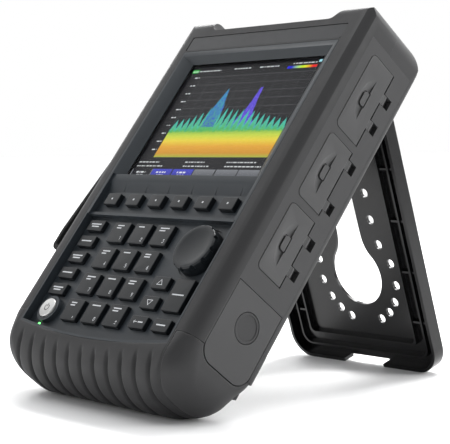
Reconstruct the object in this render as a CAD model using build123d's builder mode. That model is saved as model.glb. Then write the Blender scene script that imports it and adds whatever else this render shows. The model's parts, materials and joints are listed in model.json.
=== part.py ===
from build123d import *
import os
from math import acos, atan2, cos, hypot, radians, sin, sqrt

os.makedirs("parts", exist_ok=True)

# Handheld vector network analyzer, standing on its open kickstand.
# World frame: +X to the right, +Z up, the screen looks towards -Y; the origin is on the table.
# Case frame: x to the right, y up along the case from the lowest point of its nose,
# z out of the front face, whose flat is z = 0.  All sizes are millimetres.

# ---------------------------------------------------------------- driving dimensions
case_width = 188.0
case_length = 298.0             # nose to the tops of the corner ears
body_depth = 61.7               # front face to the rear rails
lean = 38.6                     # how far the case leans back from upright, degrees
fit = 0.3                       # gap all round a cover or key in its opening
bore_gap = 0.05                 # radial running clearance of pins and shafts

# Outer form
nose_radius = 29.0
ear_drop = 15.0                 # height of the ears above the top edge between them
ear_width = 22.0                # flat top of one ear
ear_slope = 16.5                # run of the ramp beside an ear
ear_corner = 17.0
ear_front_drop = 3.5            # the ears rise by this much from their front edge to their crest
ear_crest = 21.0                # depth of the crest
bottom_corner = 27.0
front_round = 11.0              # rounding along the front edges of the sides
rear_round = 6.0
top_front_round = 9.0
top_rear_round = 27.0
rubber_front = 11.0             # depth of the front bumper behind the front face
rubber_ear = 30.0               # depth of the bumper at its ears
ear_notch_height = 4.0
ear_notch_width = 8.0
notch_behind = 1.0
rib_spacing = 13.6
rib_margin = 6.0                # least strip without grooves at each end of the nose
rib_groove = 2.4
rib_depth = 1.3
rib_start = 8.0                 # the grooves begin this far below the nose's axis height
guard_top = 41.0                # top of the lower corner guards
guard_width = 14.0
nose_skin = 5.0

# Front bezel
bezel_width = 156.0
bezel_top = case_length - 34.5
bezel_thickness = 8.5
bezel_rim = 1.5                 # raised rim round the keypad
arc_sag = 5.6                   # how far the bottom edge of the bezel bows down
bezel_bottom = 32.0             # where the bottom edge meets the sides
keypad_floor = 6.0              # depths below the front face
ledge_floor = 4.5
ledge_top_depth = 1.6
ledge_run = 8.0                 # length of the ramp between the two depths
ledge_flat = 6.0                # from the crest of the ramp to the picture
groove_shift = 5.0
groove_width = 2.2
groove_length = 12.0
groove_depth = 1.1
groove_tilt = (22, 0, -12)      # turn of a groove about x and about the outward axis
lip_depth = 1.8
lip_thickness = 3.0
ledge_height = 35.0             # from the keypad floor's top edge to the picture
nameplate_height = 12.5
nameplate_depth = 1.5
nameplate_gap = 1.5
nameplate_sink = 0.3

# Screen
screen_width = 132.48           # 6.5-inch, 4:3
screen_height = 99.36
screen_bottom = bezel_top - 108.5
screen_gap = 0.6                # clear strip between the picture and the bezel
screen_slope = 8.6              # run of the sloped walls beside the glass
glass_depth = 5.0
glass_thickness = 2.0
glass_border = 3.0
lcd_thickness = 3.6
main_half = 74.0
main_depth = 20.0
can_height = 4.0
module_height = 14.0

# Keys
key_travel = 1.2
flange_width = 0.8
flange_thickness = 1.2
flange_gap = 0.1
dome_gap = 0.1
key_top = 3.0                   # depth of the key tops below the front face
softkey_top = 1.0
softkey_size = (14.0, 9.2)
softkey_pitch = 23.9
softkey_drop = 21.9             # centre of the softkeys below the picture
function_size = (17.0, 8.5)
function_x = -63.0
function_y = 60.4
function_pitch = 12.9
digit_size = (17.0, 15.8)
digit_x = -34.0
digit_y = 46.3
digit_pitch = (22.8, 20.5)
small_size = (15.5, 8.8)
arrow_x = 37.0
arrow_down_y = 58.6
arrow_pitch = 14.6
enter_x = 59.5
enter_width = 17.0
bottom_row_y = 44.2
key_corner = 1.0
dome_height = 1.6
dome_radius = 2.2
board_thickness = 1.6
power_x = -59.7
power_y = 44.6
power_radius = 7.0
power_top = 1.4
collar_width = 2.6
collar_top = 2.6
light_x = -64.6
light_y = 33.8
light_radius = 1.2
light_proud = 0.3

# Bosses that carry the keypad board, between the keys
boss_radius = 1.8
boss_places = [(-48.5, 54.0), (-48.5, 98.0), (25.0, 46.0), (25.0, 86.0), (72.5, 62.0)]
boss_ledge_x = 73.0             # one more boss at each end of the softkeys

# Tuning knob
knob_x = 55.0
knob_drop = 22.0                # centre of the knob below the softkey ledge
knob_radius = 16.5
knob_height = 8.7
knob_dish = 1.4
knob_scallops = 12
well_depth = 1.0
well_gap = 1.6
shaft_radius = 3.0
knob_rim = 3.0
scallop_radius = 1.8
scallop_depth = 3.4
encoder_width = 14.0
encoder_base = 0.6              # thickness under the shaft's bore

# Rear housing
wall = 3.0
side_layer = 4.0                # thickness of the side panels and of the battery door
panel_front = 11.0              # side panels run between these depths
panel_rear = body_depth - 6.4
panel_top = case_length - 24.0
door_line = 87.0                # top of the battery door
rear_wall_depth = body_depth - 4.2  # outside of the rear wall, behind the folded stand
bay_half_width = 56.0           # recess for the connectors in the top
bay_front = 14.0
bay_rear = 50.0
bay_floor = case_length - 40.0
top_plate = 3.0

# Port doors, from the bottom one to the top one: low edge, high edge, spacing of the two hinges
doors = {"lower": (100.0, 148.6, 22.6), "middle": (154.6, 203.0, 31.5), "upper": (208.8, 266.0, 21.0)}
door_front = 17.9
door_rear = 41.2
socket_depth = (door_front + door_rear) / 2
door_thickness = 2.8
door_proud = 0.3
door_corner = 4.0
swing_gap = 0.9                 # gap behind the hinge edge, that the edge swings through
hinge_depth = 44.2              # hinge axis, below the front face
hinge_inset = 1.9               # hinge axis, in from the outside of the panel
knuckle_radius = 1.9
knuckle_length = 7.0
knuckle_gap = 0.4
door_pin_radius = 1.0
scoop_length = 31.0
scoop_width = 8.0
scoop_depth = 1.7
scoop_edge = 31.0               # depth of the straight edge of the finger scoop
pocket_rear = 50.0              # far side of the pockets round the knuckles
pin_overhang = 8.0
latch_height = 10.0
latch_width = 4.4
latch_groove = 0.7              # groove round the latch
latch_floor = 0.8               # thickness of the door under the groove
latch_sink = 0.2

# Battery door and pack
battery_foot = 33.5             # lowest point of the door
battery_front = 12.0
battery_rear = panel_rear - 0.7
battery_corner = 11.0
button_y = 66.0
button_depth = 34.5
button_radius = 9.6
button_travel = 1.2
button_stem = 3.0
button_floor = 0.9
button_sink = 0.1
button_dish = 0.6
battery_size = (146.0, 42.0, 25.0)
tongue = 1.0                    # guide tongues of the battery door
tongue_gap = 0.4
tongue_reach = 9.0
battery_bottom = guard_top + fit + tongue + tongue_gap

# Kickstand
stand_hinge_y = case_length - 36.0
stand_hinge_depth = body_depth - 0.2
stand_foot = 63.0               # the folded stand ends this far above the end of the nose
stand_length = stand_hinge_y - stand_foot
stand_width = 144.0
stand_thickness = 10.0
stand_rim_offset = 3.3          # open side of the tray, in front of the hinge axis
stand_wall = 2.5
stand_corner = 18.0
stand_head = 7.5                # top of the tray, below the hinge axis
stand_clear = 1.5
knuckle_width = 14.0
knuckle_centre = stand_width / 2 - 12.0
stand_knuckle_radius = 3.4
stand_pin_radius = 2.0
lug_width = 4.5
keyhole_radius = 23.5
keyhole_shift = 6.0             # the keyhole is this far right of the middle
keyhole_height = 69.0           # centre of the round end above the foot
keyhole_neck = 12.5
keyhole_top = 147.0
keyhole_flare = 18.0            # half width where the neck leaves the round end
flare_height = 18.0
vent_angles = (-66.0, -49.0, -32.0, -10.0, 16.0, 41.0)
vent_column_x = 25.5
vent_column_low = 43.0
vent_column_pitch = 20.0
rib_height = 6.5
rib_thickness = 1.6
rib_corner = 4.0                # least corner radius of an inner rib
vent_ring = 37.0
vent_radius = 3.3
notch_half = 19.5
notch_depth = 3.2
rib_offsets = (9.0, 18.5)
rib_pitch = 38.0

# Hand strap on the left side
strap_width = 30.0
strap_thickness = 3.6
strap_depth = 27.0
strap_low = 98.0
strap_high = case_length - 48.0
strap_stand = 9.0               # from the side to the middle of the strap, at its high end
strap_bulge = 10.0              # the strap stands off by this much more at its low end
strap_bend = 4.0
strap_loop = 14.0               # length of the loose loop at the low end
strap_slope = 78.0              # length over which the strap comes back to the side
anchor_height = 9.0
anchor_reach = 6.0
anchor_gap = 0.8

# Connectors
n_radius = 7.94
n_length = 19.0
n_bore = 4.2
n_pitch = 62.0
n_contact = 1.5
sma_bore = 2.1
sma_contact = 0.6
sma_radius = 3.175
sma_length = 11.0
port_depth = 14.0               # length of a connector behind the side wall
shell_wall = 0.6                # sheet metal round the sockets
socket_mouth = 10.0
nut_rim = 2.06                  # corner radius of a nut beyond its connector's barrel
hex_height = 3.0
sma_rim = 1.5
sma_pitch = 11.0
tail_length = 10.0
screw_radius = 3.0
screw_sink = 0.8
screw_head = 2.2
screw_margin = 16.0
port_window = 1.0               # gap round a connector in the side wall
# Sockets behind the doors: door, offset along y from its middle, height along y, width
sockets = {
    "network": ("upper", 3.6, 16.0, 13.4),
    "mini_usb": ("upper", -18.4, 9.0, 7.0),
    "usb_high": ("middle", 11.2, 14.4, 7.0),
    "usb_low": ("middle", -10.8, 14.4, 7.0),
}
# Round jacks: door, offset, outer radius, bore radius, radius of the pin inside
jacks = {"power": ("lower", 9.7, 5.0, 2.8, 1.0), "audio": ("lower", -11.3, 4.0, 1.75, 0.0)}

# ---------------------------------------------------------------- placing
half = case_width / 2
lean_rad = radians(lean)
up = (0, sin(lean_rad), cos(lean_rad))
out = (0, -cos(lean_rad), sin(lean_rad))
top_edge = case_length - ear_drop
bezel_half = bezel_width / 2
side_half = half - side_layer
ear_front = case_length - ear_front_drop
screen_top = screen_bottom + screen_height
ledge_crest = screen_bottom - ledge_flat
ledge_ramp = ledge_crest - ledge_run
keypad_top = screen_bottom - ledge_height
softkey_y = screen_bottom - softkey_drop
knob_y = keypad_top - knob_drop


def world_yz(y, z):
    """World Y and Z of a case point, before the case is lifted onto the table."""
    return y * up[1] + z * out[1], y * up[2] + z * out[2]


def socket_y(door, offset):
    """Height along the case of a connector behind a door."""
    return (doors[door][0] + doors[door][1]) / 2 + offset


# The nose is a half cylinder, so it rests on the table under its own axis.
nose_y, nose_z = world_yz(nose_radius, -nose_radius)
lift = nose_radius - nose_z

# The stand opens until the edge of its rim at the foot reaches the table.
hinge_y, hinge_z = world_yz(stand_hinge_y, -stand_hinge_depth)
hinge_z = hinge_z + lift
foot_reach = hypot(stand_length, stand_rim_offset)
stand_angle = acos(hinge_z / foot_reach) + atan2(stand_rim_offset, stand_length)
stand_down = (0, sin(stand_angle), -cos(stand_angle))
stand_front = (0, -cos(stand_angle), -sin(stand_angle))

# The origin is midway between the front of the nose and the back of the foot.
foot_back = stand_rim_offset - stand_thickness
foot_y = hinge_y + stand_length * stand_down[1] + foot_back * stand_front[1]
shift = -((nose_y - nose_radius) + foot_y) / 2

# The strap stands out to the left, so the case is to the right of the middle.
strap_reach = half + strap_stand + strap_bulge + strap_thickness / 2
shift_x = (strap_reach - half - door_proud) / 2

case = Plane(origin=(shift_x, shift, lift), x_dir=(1, 0, 0), z_dir=out)
out_axis = Axis((0, 0, 0), out)
side = Plane(origin=case.origin, x_dir=up, z_dir=(1, 0, 0))
end = Plane(origin=case.origin, x_dir=(1, 0, 0), z_dir=(0, -up[1], -up[2]))
stand = Plane(
    origin=(shift_x, hinge_y + shift, hinge_z),
    x_dir=(1, 0, 0),
    z_dir=stand_front,
)


def block(x, y, z, mode=Mode.ADD, frame=case):
    """A box in the frame of the case or the stand, from its ranges along x, y and z."""
    centre = ((x[0] + x[1]) / 2, (y[0] + y[1]) / 2, (z[0] + z[1]) / 2)
    with Locations(frame.location * Location(centre)):
        Box(x[1] - x[0], y[1] - y[0], z[1] - z[0], mode=mode)


def panel_outline(depth, margin, top):
    """The bezel's outline, grown by a margin, with its bowed bottom edge, at a depth."""
    edge = bezel_half + margin
    low = bezel_bottom - margin
    with BuildSketch(case.offset(-depth)) as outline:
        with BuildLine():
            ThreePointArc((-edge, low), (0, low - arc_sag), (edge, low))
            Polyline((edge, low), (edge, top), (-edge, top), (-edge, low))
        make_face()
    return outline.sketch


def box_zone(*ranges):
    """Several boxes in the case frame, joined, each from its ranges along x, y and z."""
    with BuildPart() as zone:
        for x, y, z in ranges:
            block(x, y, z)
    return zone.part


# ---------------------------------------------------------------- outer form
# Three outlines, seen from the front, from the side and from the end, extruded and intersected.
with BuildPart() as outer_form:
    with BuildSketch(case.offset(-body_depth - 2)):
        with BuildLine():
            l1 = Line((0, 0), (half - bottom_corner, 0))
            l2 = RadiusArc(l1 @ 1, (half, bottom_corner), -bottom_corner)
            l3 = Line(l2 @ 1, (half, case_length - ear_corner))
            l4 = RadiusArc(l3 @ 1, (half - ear_corner, case_length), -ear_corner)
            l5 = Line(l4 @ 1, (half - ear_width, case_length))
            l6 = Spline(
                l5 @ 1,
                (half - ear_width - ear_slope, top_edge),
                tangents=((-1, 0), (-1, 0)),
            )
            l7 = Line(l6 @ 1, (0, top_edge))
            mirror(about=Plane.YZ)
        make_face()
    extrude(amount=body_depth + 4)
    with BuildSketch(side):
        with BuildLine():
            b1 = RadiusArc((nose_radius, -2 * nose_radius), (0, -nose_radius), nose_radius)
            b2 = RadiusArc(b1 @ 1, (nose_radius, 0), nose_radius)
            b3 = Line(b2 @ 1, (ear_front - top_front_round, 0))
            b4 = RadiusArc(b3 @ 1, (ear_front, -top_front_round), top_front_round)
            b5 = Spline(
                b4 @ 1,
                (case_length, -ear_crest),
                (case_length - top_rear_round, -body_depth),
                tangents=((0, -1), (-1, -0.1)),
            )
            b6 = Line(b5 @ 1, (2 * nose_radius, -body_depth))
            Line(b6 @ 1, b1 @ 0)
        make_face()
    extrude(amount=half + 2, both=True, mode=Mode.INTERSECT)
    with BuildSketch(end):
        with BuildLine():
            e1 = Line((0, 0), (half - front_round, 0))
            e2 = RadiusArc(e1 @ 1, (half, -front_round), front_round)
            e3 = Line(e2 @ 1, (half, -body_depth + rear_round))
            e4 = RadiusArc(e3 @ 1, (half - rear_round, -body_depth), rear_round)
            e5 = Line(e4 @ 1, (0, -body_depth))
            mirror(about=Plane.YZ)
        make_face()
    extrude(amount=-case_length - 2, mode=Mode.INTERSECT)
    # A notch across each ear, where the rubber meets the rear housing.
    for sign in (-1, 1):
        with BuildSketch(case.offset(-rubber_ear - notch_behind)):
            with Locations((sign * (half - ear_width / 2), case_length)):
                Rectangle(ear_width + 2 * ear_slope, 2 * ear_notch_height)
        extrude(amount=ear_notch_width, mode=Mode.SUBTRACT)


# ---------------------------------------------------------------- zones of the shell
beyond = half + 1
over_top = case_length + 1
behind = -body_depth - 1
guard_half = half - guard_width
groove_pairs = int((guard_half - rib_margin) / rib_spacing)
ear_inside = half - ear_width - ear_slope
core_half = half - nose_skin
inner_radius = nose_radius - nose_skin
cavity_rear = wall - rear_wall_depth


def front_outline(inset):
    """The case's outline from the front, shrunk by an inset, for what lies inside the nose."""
    with BuildSketch(case.offset(-body_depth - 2)) as outline:
        with Locations((0, case_length / 2)):
            Rectangle(case_width - 2 * inset, case_length - 2 * inset)
        fillet(outline.vertices().sort_by(Axis.Y)[:2], bottom_corner - inset)
    return outline.sketch


# The hard core of the nose, under the rubber and the corner guards.
with BuildPart() as nose_core:
    with BuildSketch(side.offset(-core_half)):
        with Locations((nose_radius, -nose_radius)):
            Circle(inner_radius)
    extrude(amount=2 * core_half)
    block((-beyond, beyond), (0, nose_radius), (-2 * nose_radius, -rubber_front), mode=Mode.INTERSECT)
    block((-core_half, core_half), (nose_radius, guard_top), (-rear_wall_depth, -rubber_front))
    extrude(front_outline(nose_skin), amount=body_depth + 4, mode=Mode.INTERSECT)

# The room inside the core.
low_half = core_half - wall
with BuildPart() as nose_hollow:
    with BuildSketch(side.offset(-low_half)) as roll:
        with Locations((nose_radius, -nose_radius)):
            Circle(inner_radius - wall)
        with Locations((nose_radius + inner_radius, -nose_radius)):
            Rectangle(2 * inner_radius, 4 * nose_radius, mode=Mode.SUBTRACT)
    extrude(roll.sketch, amount=2 * low_half)
    block((-low_half, low_half), (nose_radius, guard_top), (cavity_rear, 1))
    extrude(front_outline(nose_skin + wall), amount=body_depth + 4, mode=Mode.INTERSECT)

# All that the bumper, the guards, the side panels and the doors are fitted round.
with BuildPart() as housing_blank:
    add(outer_form.part)
    add(
        box_zone(
            ((-guard_half, guard_half), (nose_radius, guard_top), (behind, -rubber_front)),
            ((-side_half, side_half), (guard_top, panel_top), (behind, -rubber_front)),
            ((-beyond, beyond), (guard_top, panel_top), (behind, -panel_rear)),
            ((-beyond, beyond), (panel_top, over_top), (behind, -rubber_ear)),
            ((-ear_inside, ear_inside), (panel_top, over_top), (behind, -rubber_front)),
        ),
        mode=Mode.INTERSECT,
    )
    add(nose_core.part)

# ---------------------------------------------------------------- rear housing
recess_half = stand_width / 2 + stand_clear
recess_low = stand_hinge_y - stand_length - stand_clear
recess_high = stand_hinge_y + stand_knuckle_radius + 2 * stand_clear
lug_radius = stand_knuckle_radius + 0.6
lug_offset = (knuckle_width + lug_width) / 2 + fit
panel_out = half + door_proud
# The scoop's axis stands this far off the door, so the crescent has its width and depth.
scoop_centre = (scoop_width**2 - scoop_depth**2) / (2 * scoop_depth)
screw_x = (half + recess_half) / 2
screw_rows = (guard_top + screw_margin, (guard_top + panel_top) / 2, panel_top - screw_margin)

with BuildPart() as rear_housing:
    add(housing_blank.part)
    # Inside of the shell, open to the front.
    inner_half = side_half - wall
    ceiling = bay_floor - 2 * wall
    block((-inner_half, inner_half), (guard_top, ceiling), (cavity_rear, 1), mode=Mode.SUBTRACT)
    add(nose_hollow.part, mode=Mode.SUBTRACT)
    # Recess for the connectors in the top, with a window that the top panel closes.
    bay_y = (bay_floor, over_top)
    block((-bay_half_width, bay_half_width), bay_y, (-bay_rear, -bay_front), mode=Mode.SUBTRACT)
    window_z = (2 * wall - bay_rear, -bay_front - 2 * wall)
    window_half = bay_half_width - 2 * wall
    block((-window_half, window_half), (ceiling - 1, bay_floor + 1), window_z, mode=Mode.SUBTRACT)
    # Recess for the folded stand in the back, and the lugs of its hinges.
    recess_y = (recess_low, recess_high)
    block((-recess_half, recess_half), recess_y, (behind, -rear_wall_depth), mode=Mode.SUBTRACT)
    for sign in (-1, 1):
        for step in (-1, 1):
            lug_x = sign * knuckle_centre + step * lug_offset
            with BuildSketch(side.offset(lug_x - lug_width / 2)) as lug:
                with Locations((stand_hinge_y, -stand_hinge_depth)):
                    Circle(lug_radius)
                lug_root = rear_wall_depth - wall
                with Locations((stand_hinge_y, -(stand_hinge_depth + lug_root) / 2)):
                    Rectangle(2 * lug_radius, stand_hinge_depth - lug_root)
                with Locations((stand_hinge_y, -stand_hinge_depth)):
                    Circle(stand_pin_radius + bore_gap, mode=Mode.SUBTRACT)
            extrude(lug.sketch, amount=lug_width)
    # Openings in the right wall: one per connector, and the battery bay.
    for door, offset, height, width in sockets.values():
        centre = socket_y(door, offset)
        y = (centre - height / 2 - port_window, centre + height / 2 + port_window)
        z = (-socket_depth - width / 2 - port_window, -socket_depth + width / 2 + port_window)
        block((inner_half - 1, side_half + 1), y, z, mode=Mode.SUBTRACT)
    for door, offset, radius, bore, pin in jacks.values():
        with BuildSketch(side.offset(inner_half - 1)) as jack_hole:
            with Locations((socket_y(door, offset), -socket_depth)):
                Circle(radius + port_window)
        extrude(jack_hole.sketch, amount=wall + 2, mode=Mode.SUBTRACT)
    bay_low = battery_bottom - tongue_gap - tongue
    bay_high = battery_bottom + battery_size[1] + tongue_gap + tongue
    block(
        (low_half - 1, side_half + 1),
        (bay_low - fit, bay_high + fit),
        (-battery_rear + fit, fit - battery_rear + battery_size[2] + 2 * tongue_gap),
        mode=Mode.SUBTRACT,
    )
    # Screw pockets in the rear rails.
    for sign in (-1, 1):
        for row in screw_rows:
            with BuildSketch(case.offset(-body_depth - 1)) as pocket:
                with Locations((sign * screw_x, row)):
                    Circle(screw_radius + fit)
            extrude(pocket.sketch, amount=1 + screw_sink + screw_head, mode=Mode.SUBTRACT)
rear_housing.part.label = "rear_housing"
export_step(rear_housing.part, "parts/rear_housing.step")

with BuildPart() as case_screws:
    for sign in (-1, 1):
        for row in screw_rows:
            with BuildSketch(case.offset(-body_depth + screw_sink)) as head:
                with Locations((sign * screw_x, row)):
                    Circle(screw_radius)
            extrude(head.sketch, amount=screw_head)
            with BuildSketch(case.offset(-body_depth + screw_sink)) as drive:
                with Locations((sign * screw_x, row)):
                    RegularPolygon(screw_radius / 2, 6)
            extrude(drive.sketch, amount=screw_head / 2, mode=Mode.SUBTRACT)
case_screws.part.label = "case_screws"
export_step(case_screws.part, "parts/case_screws.step")

# ---------------------------------------------------------------- rubber
nameplate_low = bezel_top + nameplate_gap
nameplate_high = nameplate_low + nameplate_height
seat = 3.0                      # ledge of the bumper that the bezel sits on

with BuildPart() as front_bumper:
    add(outer_form.part)
    add(
        box_zone(
            ((-beyond, beyond), (guard_top, over_top), (-rubber_front, 1)),
            ((-beyond, -ear_inside), (panel_top, over_top), (-rubber_ear, 1)),
            ((ear_inside, beyond), (panel_top, over_top), (-rubber_ear, 1)),
        ),
        mode=Mode.INTERSECT,
    )
    bezel_room = panel_outline(bezel_thickness, fit, bezel_top + fit)
    extrude(bezel_room, amount=2 * bezel_thickness, mode=Mode.SUBTRACT)
    inner_edge = panel_outline(rubber_front + 1, -seat, bezel_top - seat)
    extrude(inner_edge, amount=rubber_front, mode=Mode.SUBTRACT)
    plate_x = (-bezel_half, bezel_half)
    block(plate_x, (nameplate_low, nameplate_high), (-nameplate_depth, 1), mode=Mode.SUBTRACT)
front_bumper.part.label = "front_bumper"
export_step(front_bumper.part, "parts/front_bumper.step")

with BuildPart() as nameplate:
    block(
        (fit - bezel_half, bezel_half - fit),
        (nameplate_low + fit, nameplate_high - fit),
        (-nameplate_depth, -nameplate_sink),
    )
    fillet(nameplate.edges().filter_by(out_axis), 1.5)
nameplate.part.label = "nameplate"
export_step(nameplate.part, "parts/nameplate.step")

with BuildPart() as nose_bumper:
    add(outer_form.part)
    add(
        box_zone(
            ((-guard_half, guard_half), (-1, nose_radius), (-2 * nose_radius - 1, 1)),
            ((-guard_half, guard_half), (-1, guard_top), (-rubber_front, 1)),
        ),
        mode=Mode.INTERSECT,
    )
    extrude(panel_outline(rubber_front + 1, fit, bezel_top), amount=rubber_front + 2, mode=Mode.SUBTRACT)
    with BuildSketch(side.offset(-beyond)) as hollow:
        with Locations((nose_radius, -nose_radius)):
            Circle(inner_radius)
    extrude(hollow.sketch, amount=2 * beyond, mode=Mode.SUBTRACT)
    # Grooves between the ribs that wrap round the nose, spread out from the middle.
    for index in range(-groove_pairs, groove_pairs + 1):
        groove_x = index * rib_spacing - rib_groove / 2
        with BuildSketch(side.offset(groove_x)) as groove:
            with Locations((nose_radius, -nose_radius)):
                Circle(nose_radius + 1)
                Circle(nose_radius - rib_depth, mode=Mode.SUBTRACT)
            with Locations((nose_radius, 0)):
                Rectangle(2 * rib_start, 2 * nose_radius, mode=Mode.SUBTRACT)
        extrude(groove.sketch, amount=rib_groove, mode=Mode.SUBTRACT)
nose_bumper.part.label = "nose_bumper"
export_step(nose_bumper.part, "parts/nose_bumper.step")


def battery_outline(distance, margin):
    """The battery door's outline, grown by a margin, on a plane across the case."""
    high = door_line - fit + margin
    low = battery_foot - margin
    with BuildSketch(side.offset(distance)) as outline:
        with Locations(((low + high) / 2, -(battery_front + battery_rear) / 2)):
            Rectangle(high - low, battery_rear - battery_front + 2 * margin)
        fillet(outline.vertices().sort_by(Axis.X)[:2], battery_corner + margin)
    return outline.sketch


for name, sign in (("corner_guard_right", 1), ("corner_guard_left", -1)):
    with BuildPart() as corner_guard:
        add(outer_form.part)
        x_range = sorted((sign * guard_half, sign * beyond))
        block(x_range, (-1, guard_top), (behind, 1), mode=Mode.INTERSECT)
        add(nose_core.part, mode=Mode.SUBTRACT)
        if sign > 0:
            extrude(battery_outline(side_half, fit), amount=2 * side_layer, mode=Mode.SUBTRACT)
    corner_guard.part.label = name
    export_step(corner_guard.part, f"parts/{name}.step")

# ---------------------------------------------------------------- side panels and port doors
pin_x = half - hinge_inset

with BuildPart() as side_panel_left:
    add(outer_form.part)
    block((-beyond, -side_half), (guard_top, panel_top), (-panel_rear, -panel_front), mode=Mode.INTERSECT)
side_panel_left.part.label = "side_panel_left"
export_step(side_panel_left.part, "parts/side_panel_left.step")

with BuildPart() as side_panel_right:
    add(outer_form.part)
    add(
        box_zone(
            ((side_half, beyond), (door_line, panel_top), (-panel_rear, -panel_front)),
            ((side_half, beyond), (guard_top, door_line + 1), (-battery_front + fit, -panel_front)),
            ((side_half, beyond), (guard_top, door_line + 1), (-panel_rear, -battery_rear - fit)),
        ),
        mode=Mode.INTERSECT,
    )
    for low, high, spacing in doors.values():
        with BuildSketch(side.offset(side_half - 1)) as opening:
            with Locations(((low + high) / 2, (fit - door_front - door_rear - swing_gap) / 2)):
                Rectangle(high - low + 2 * fit, door_rear - door_front + fit + swing_gap)
            fillet(opening.vertices().sort_by(Axis.Y)[-2:], door_corner + fit)
        extrude(opening.sketch, amount=side_layer + 2, mode=Mode.SUBTRACT)
        middle = (low + high) / 2
        for offset in (-spacing / 2, spacing / 2):
            reach = knuckle_length / 2 + knuckle_gap
            y = (middle + offset - reach, middle + offset + reach)
            block((side_half - 1, beyond), y, (-pocket_rear, -door_rear), mode=Mode.SUBTRACT)
        with BuildSketch(end.offset(-(middle - spacing / 2 - pin_overhang))) as bore:
            with Locations((pin_x, -hinge_depth)):
                Circle(door_pin_radius + bore_gap)
        extrude(bore.sketch, amount=-(spacing + 2 * pin_overhang), mode=Mode.SUBTRACT)
side_panel_right.part.label = "side_panel_right"
export_step(side_panel_right.part, "parts/side_panel_right.step")

for name, (low, high, spacing) in doors.items():
    middle = (low + high) / 2
    with BuildPart() as port_door:
        with BuildSketch(side.offset(panel_out - door_thickness)) as plate:
            with Locations((middle, -(door_front + door_rear) / 2)):
                Rectangle(high - low, door_rear - door_front)
            fillet(plate.vertices().sort_by(Axis.Y)[-2:], door_corner)
        extrude(amount=door_thickness)
        fillet(port_door.faces().sort_by(Axis.X)[-1].edges(), 0.5)
        # Crescent finger scoop, turned about an axis in front of the door's face.
        with BuildSketch(side.offset(panel_out + scoop_centre)) as scoop:
            low_end = (middle - scoop_length / 2, scoop_centre - scoop_edge)
            high_end = (middle + scoop_length / 2, scoop_centre - scoop_edge)
            with BuildLine():
                deepest = (middle, scoop_centre + scoop_depth - scoop_edge)
                ThreePointArc(low_end, deepest, high_end)
                Polyline(
                    high_end,
                    (high_end[0], -scoop_edge),
                    (low_end[0], -scoop_edge),
                    low_end,
                )
            make_face()
        turn_centre = side.offset(panel_out + scoop_centre) * Location((0, -scoop_edge, 0))
        turn_axis = Axis(turn_centre.position, up)
        revolve(scoop.sketch, axis=turn_axis, revolution_arc=-90, mode=Mode.SUBTRACT)
        # Latch tab in a groove at the middle of the scoop's straight edge.
        for margin, base, top, kind in (
            (latch_groove, latch_floor, door_thickness + 1, Mode.SUBTRACT),
            (0, latch_floor, door_thickness - latch_sink, Mode.ADD),
        ):
            with BuildSketch(side.offset(panel_out - door_thickness + base)) as latch:
                with Locations((middle, latch_width / 2 - scoop_edge)):
                    Rectangle(latch_height + 2 * margin, latch_width + 2 * margin)
                fillet(latch.vertices().sort_by(Axis.Y)[-2:], latch_width / 2)
            extrude(latch.sketch, amount=top - base, mode=kind)
        # Knuckles that turn on the hinge pin.
        for offset in (-spacing / 2, spacing / 2):
            y = (middle + offset - knuckle_length / 2, middle + offset + knuckle_length / 2)
            block((pin_x - knuckle_radius + 1.2, panel_out - 0.6), y, (-hinge_depth, -door_rear + 1))
            with BuildSketch(end.offset(-y[0])) as knuckle:
                with Locations((pin_x, -hinge_depth)):
                    Circle(knuckle_radius)
            extrude(knuckle.sketch, amount=-knuckle_length)
            with BuildSketch(end.offset(-y[0] + 1)) as knuckle_bore:
                with Locations((pin_x, -hinge_depth)):
                    Circle(door_pin_radius + bore_gap)
            extrude(knuckle_bore.sketch, amount=-knuckle_length - 2, mode=Mode.SUBTRACT)
    port_door.part.label = f"port_door_{name}"
    export_step(port_door.part, f"parts/port_door_{name}.step")

with BuildPart() as hinge_pins:
    for low, high, spacing in doors.values():
        start = (low + high) / 2 - spacing / 2 - pin_overhang
        with BuildSketch(end.offset(-start - 0.2)) as pin:
            with Locations((pin_x, -hinge_depth)):
                Circle(door_pin_radius)
        extrude(pin.sketch, amount=-(spacing + 2 * pin_overhang - 0.4))
    for sign in (-1, 1):
        length = knuckle_width + 2 * lug_width + 2 * fit
        with BuildSketch(side.offset(sign * knuckle_centre - length / 2)) as stand_pin:
            with Locations((stand_hinge_y, -stand_hinge_depth)):
                Circle(stand_pin_radius)
        extrude(stand_pin.sketch, amount=length)
hinge_pins.part.label = "hinge_pins"
export_step(hinge_pins.part, "parts/hinge_pins.step")

# ---------------------------------------------------------------- battery
battery_top = battery_bottom + battery_size[1]
battery_z = (-battery_rear + 2 * fit, -battery_rear + 2 * fit + battery_size[2])
battery_end = side_half - side_layer
door_back = side_half + fit

with BuildPart() as battery_pack:
    block((battery_end - battery_size[0], battery_end), (battery_bottom, battery_top), battery_z)
    fillet(battery_pack.edges().filter_by(Axis.X), 2.0)
battery_pack.part.label = "battery_pack"
export_step(battery_pack.part, "parts/battery_pack.step")

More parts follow.
